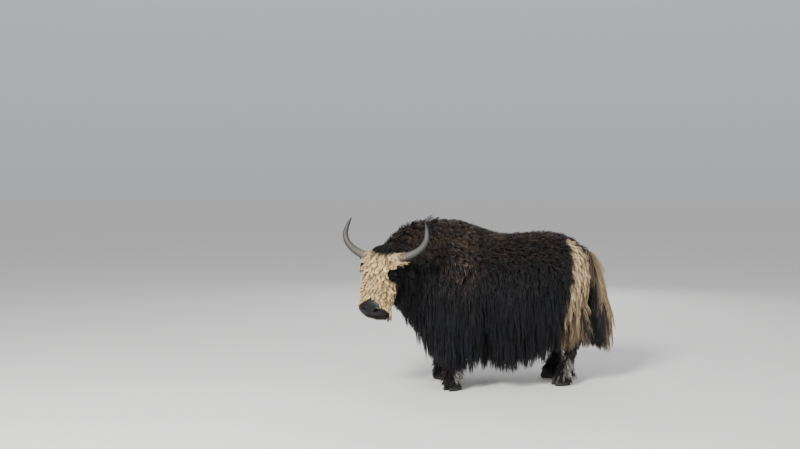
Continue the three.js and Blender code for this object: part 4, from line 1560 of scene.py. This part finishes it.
def make_coat(field):
    dark = partial(coat, field, "dark_coat", hair_material("dark_hair", 0.42, 0.03))
    pale_hair = hair_material("pale_hair", 0.6, 0.2)
    pale = partial(coat, field, "pale_coat", pale_hair)
    part, heads, points = field.part, field.heads, field.points
    x, y, z = points.T
    hx, hy, hz = heads.T
    trunk, head, leg = (part == name for name in ("trunk", "head", "leg"))
    blaze = pale_face(heads) > 0.5
    jaw = (hz < JAW["under"]) & (hx > JAW["from"]) & (np.abs(hy) > 30)
    jaw &= hx < np.where(hy > 0, JAW["left"], JAW["right"])
    chin = head & (hx > 395) & (hz < mouth_height(hx) - 34) & ~(blaze & jaw)
    aside, run, _ = off_horn(heads)
    apart = np.where(run > -80, np.linalg.norm(aside, axis=1), 900)
    off_root = apart > HORN_HAIR["inner"]
    horn_ring = head & off_root & (apart < HORN_HAIR["outer"])
    poll = head & (hx < FACE_TOP) & (hz > -90) & off_root
    hairy = (bare_muzzle(heads) <= 0.4) & ~near_eye(heads, 31)
    face = head & hairy & (hx > -62) & ~chin & off_root
    pale(
        "coat_face", face & blaze & ~jaw, 5.0, 4.6, face_lie, face_length, rings=9, lift=face_lift,
        clump=0.84, closed=0.42, spread=0.36, gather=20, scatter=0.4, wave=8, wavelength=66,
        weight=0.05, stand=0.55, root_shade=0.12, tip=1.15, horns=True,
    )
    dark(
        "coat_poll", poll, 6.4, 5.6, face_lie, steady(38), rings=5, lift=7, clump=0.6, spread=0.4,
        gather=24, scatter=0.4, wave=4, wavelength=45, weight=0.3, stand=0.2, horns=True,
    )
    pale(
        "coat_horn_roots", horn_ring, 4.2, 4.8, horn_lie, horn_hair_length, rings=8, lift=6,
        clump=0.4, spread=0.5, gather=18, scatter=0.1, wave=4, wavelength=50, weight=0.04,
        flat=0, stand=0, root_shade=0.2, horns=True,
    )
    dark(
        "coat_cheeks", face & ~blaze & ~poll & ~jaw, 7, 5.4, steady(CHEEK_LIE), cheek_length,
        lift=face_lift, clump=0.4, gather=24, scatter=0.15, weight=0.1,
    )
    pale(
        "coat_beard", face & jaw, 5.6, 5, steady(CHEEK_LIE), beard_length, rings=7, lift=22,
        clump=0.75, closed=0.6, spread=0.35, gather=24, scatter=0.15, wave=5, wavelength=70,
        weight=0.4, root_shade=0.3,
    )
    dark(
        "coat_chin", chin, 4.6, 2.9, steady(CHIN_LIE), chin_length, lift=4, clump=0.35,
        spread=0.5, gather=16, scatter=0.14, weight=0.6, tip=1.3,
    )
    for side, name in ((1, "left"), (-1, "right")):
        dark(
            "coat_ear_" + name, part == f"ear{side}", 5.5, 4.5, ear_lie(side), steady(42), lift=5,
            clump=0.4, gather=20, scatter=0.15, weight=0.12, stand=0.2,
        )
    light = pale_rump(points) > 0.5
    high = trunk & (z > BACK_EDGE)
    body = {"lie": body_lie, "length": body_length, "lift": flank_lift}
    dark(
        "coat_back", high & ~light & (x > HUMP_END), 8.8, 7.4, **body, rings=5, clump=0.6, spread=0.45,
        gather=24, wave=4, wavelength=52, weight=0.05, tip=1.25, tone=0.22,
    )
    dark(
        "coat_hump", high & (x <= HUMP_END), 8.3, 7.6, body_lie, hump_length, rings=6, lift=hump_lift,
        clump=0.6, spread=0.5, gather=25, scatter=0.38, wave=6, weight=0.12, stand=0.38, tip=1.3,
        tone=0.24,
    )
    for name, side in SIDES.items():
        own = trunk & (y * side > 0)
        low = own & (z <= BACK_EDGE) & ~light
        rear = low & (x >= MANE_END)
        dark(
            "coat_mane_" + name, low & (x < MANE_END), 9.8, 7.6, **body, rings=6, clump=0.6,
            spread=0.35, gather=34, scatter=0.16, wave=4, wavelength=110, weight=0.3,
        )
        dark(
            "coat_side_" + name, rear & (z > FLANK_TOP), 9.2, 7.2, **body, rings=6, clump=0.62,
            spread=0.42, gather=28, scatter=0.2, wave=5, wavelength=70, weight=0.2, stand=0.35,
            tip=1.2, tone=0.22,
        )
        dark(
            "coat_flank_" + name, rear & (z <= FLANK_TOP), 9.5, 7.8, **body, rings=6, clump=0.66,
            spread=0.4, gather=30, scatter=0.06, wave=5, wavelength=260, weight=0.3, stand=0.4,
            twist=0.25, tone=0.24, root_shade=0.5, tip=1.2, hem=True,
        )
        pale(
            "coat_rump_" + name, own & light, 8.6, 6.8, **body, rings=7, clump=0.75, closed=0.7,
            spread=0.3, gather=30, scatter=0.14, wave=7, wavelength=90, root_shade=0.3, hem=True,
        )
    coat(
        field, "tail_coat", pale_hair, "coat_tail", part == "tail", 6.4, 6.6, tail_lie, tail_length,
        rings=8, lift=tail_lift, clump=0.7, spread=0.35, gather=30, scatter=0.08, wave=6,
        wavelength=150, weight=0.16, stand=0.3, colours=tail_colours, root_shade=0.4,
    )
    dark(
        "coat_legs", leg & (z > 130), 6.8, 5.5, steady(LEG_LIE), leg_length, lift=leg_lift,
        gather=24, scatter=0.16, weight=0.1, stand=0.5,
    )
    dark(
        "coat_feet", leg & (z > 60) & (z <= 130), 5.4, 5, steady(LEG_LIE), foot_length, rings=5,
        lift=leg_lift, clump=0.6, gather=22, scatter=0.2, wave=3, wavelength=50, weight=0.1,
        stand=0.9,
    )


skin = make_skin()
skin_points = points_of(skin.data)
skin_heads = into_head(skin_points)
field = Field(skin)
bare, pit = bare_muzzle(skin_heads), nostril_shade(skin_heads)
# Painted shade: the skin under the coat is darkened by SKIN_SHADE, and the inside of each nostril nearly
# to black
shadow = np.where(bare > 0.5, 1.0, SKIN_SHADE) * (1 - 0.96 * pit)
on_tail = (skin_points[:, 0] > TAIL_START + 2)[:, None]
tail_tones, body_tones = tail_colours(skin_points, skin_heads), markings_and_painted_light(skin_points, skin_heads)
paint(skin, np.where(on_tail, tail_tones, body_tones) * shadow[:, None])
share_layer(skin, "Bare", bare * of_head(skin_heads, 1.5) * (1 - 0.65 * pit))
skin.data.materials.clear()
skin.data.materials.append(skin_material())
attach(skin, "root")
flesh = [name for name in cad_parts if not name.startswith(("eye_", "horn_")) and "claw" not in name]
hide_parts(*flesh)
make_coat(field)
eye, horn, hoof = eye_material(), horn_material(), hoof_material()
for side, name in ((1, "left"), (-1, "right")):
    make_eye(side, name, eye)
    make_horn(side, name, horn)
for end in FEET:
    for name, side in SIDES.items():
        for half, which in ((1, "outer"), (-1, "inner")):
            make_claw(end, side, half, f"{end}_claw_{name}_{which}", hoof)
make_stage()
for name, (place, size, energy) in LAMPS.items():
    lamp(name, place, size, energy)
make_camera()
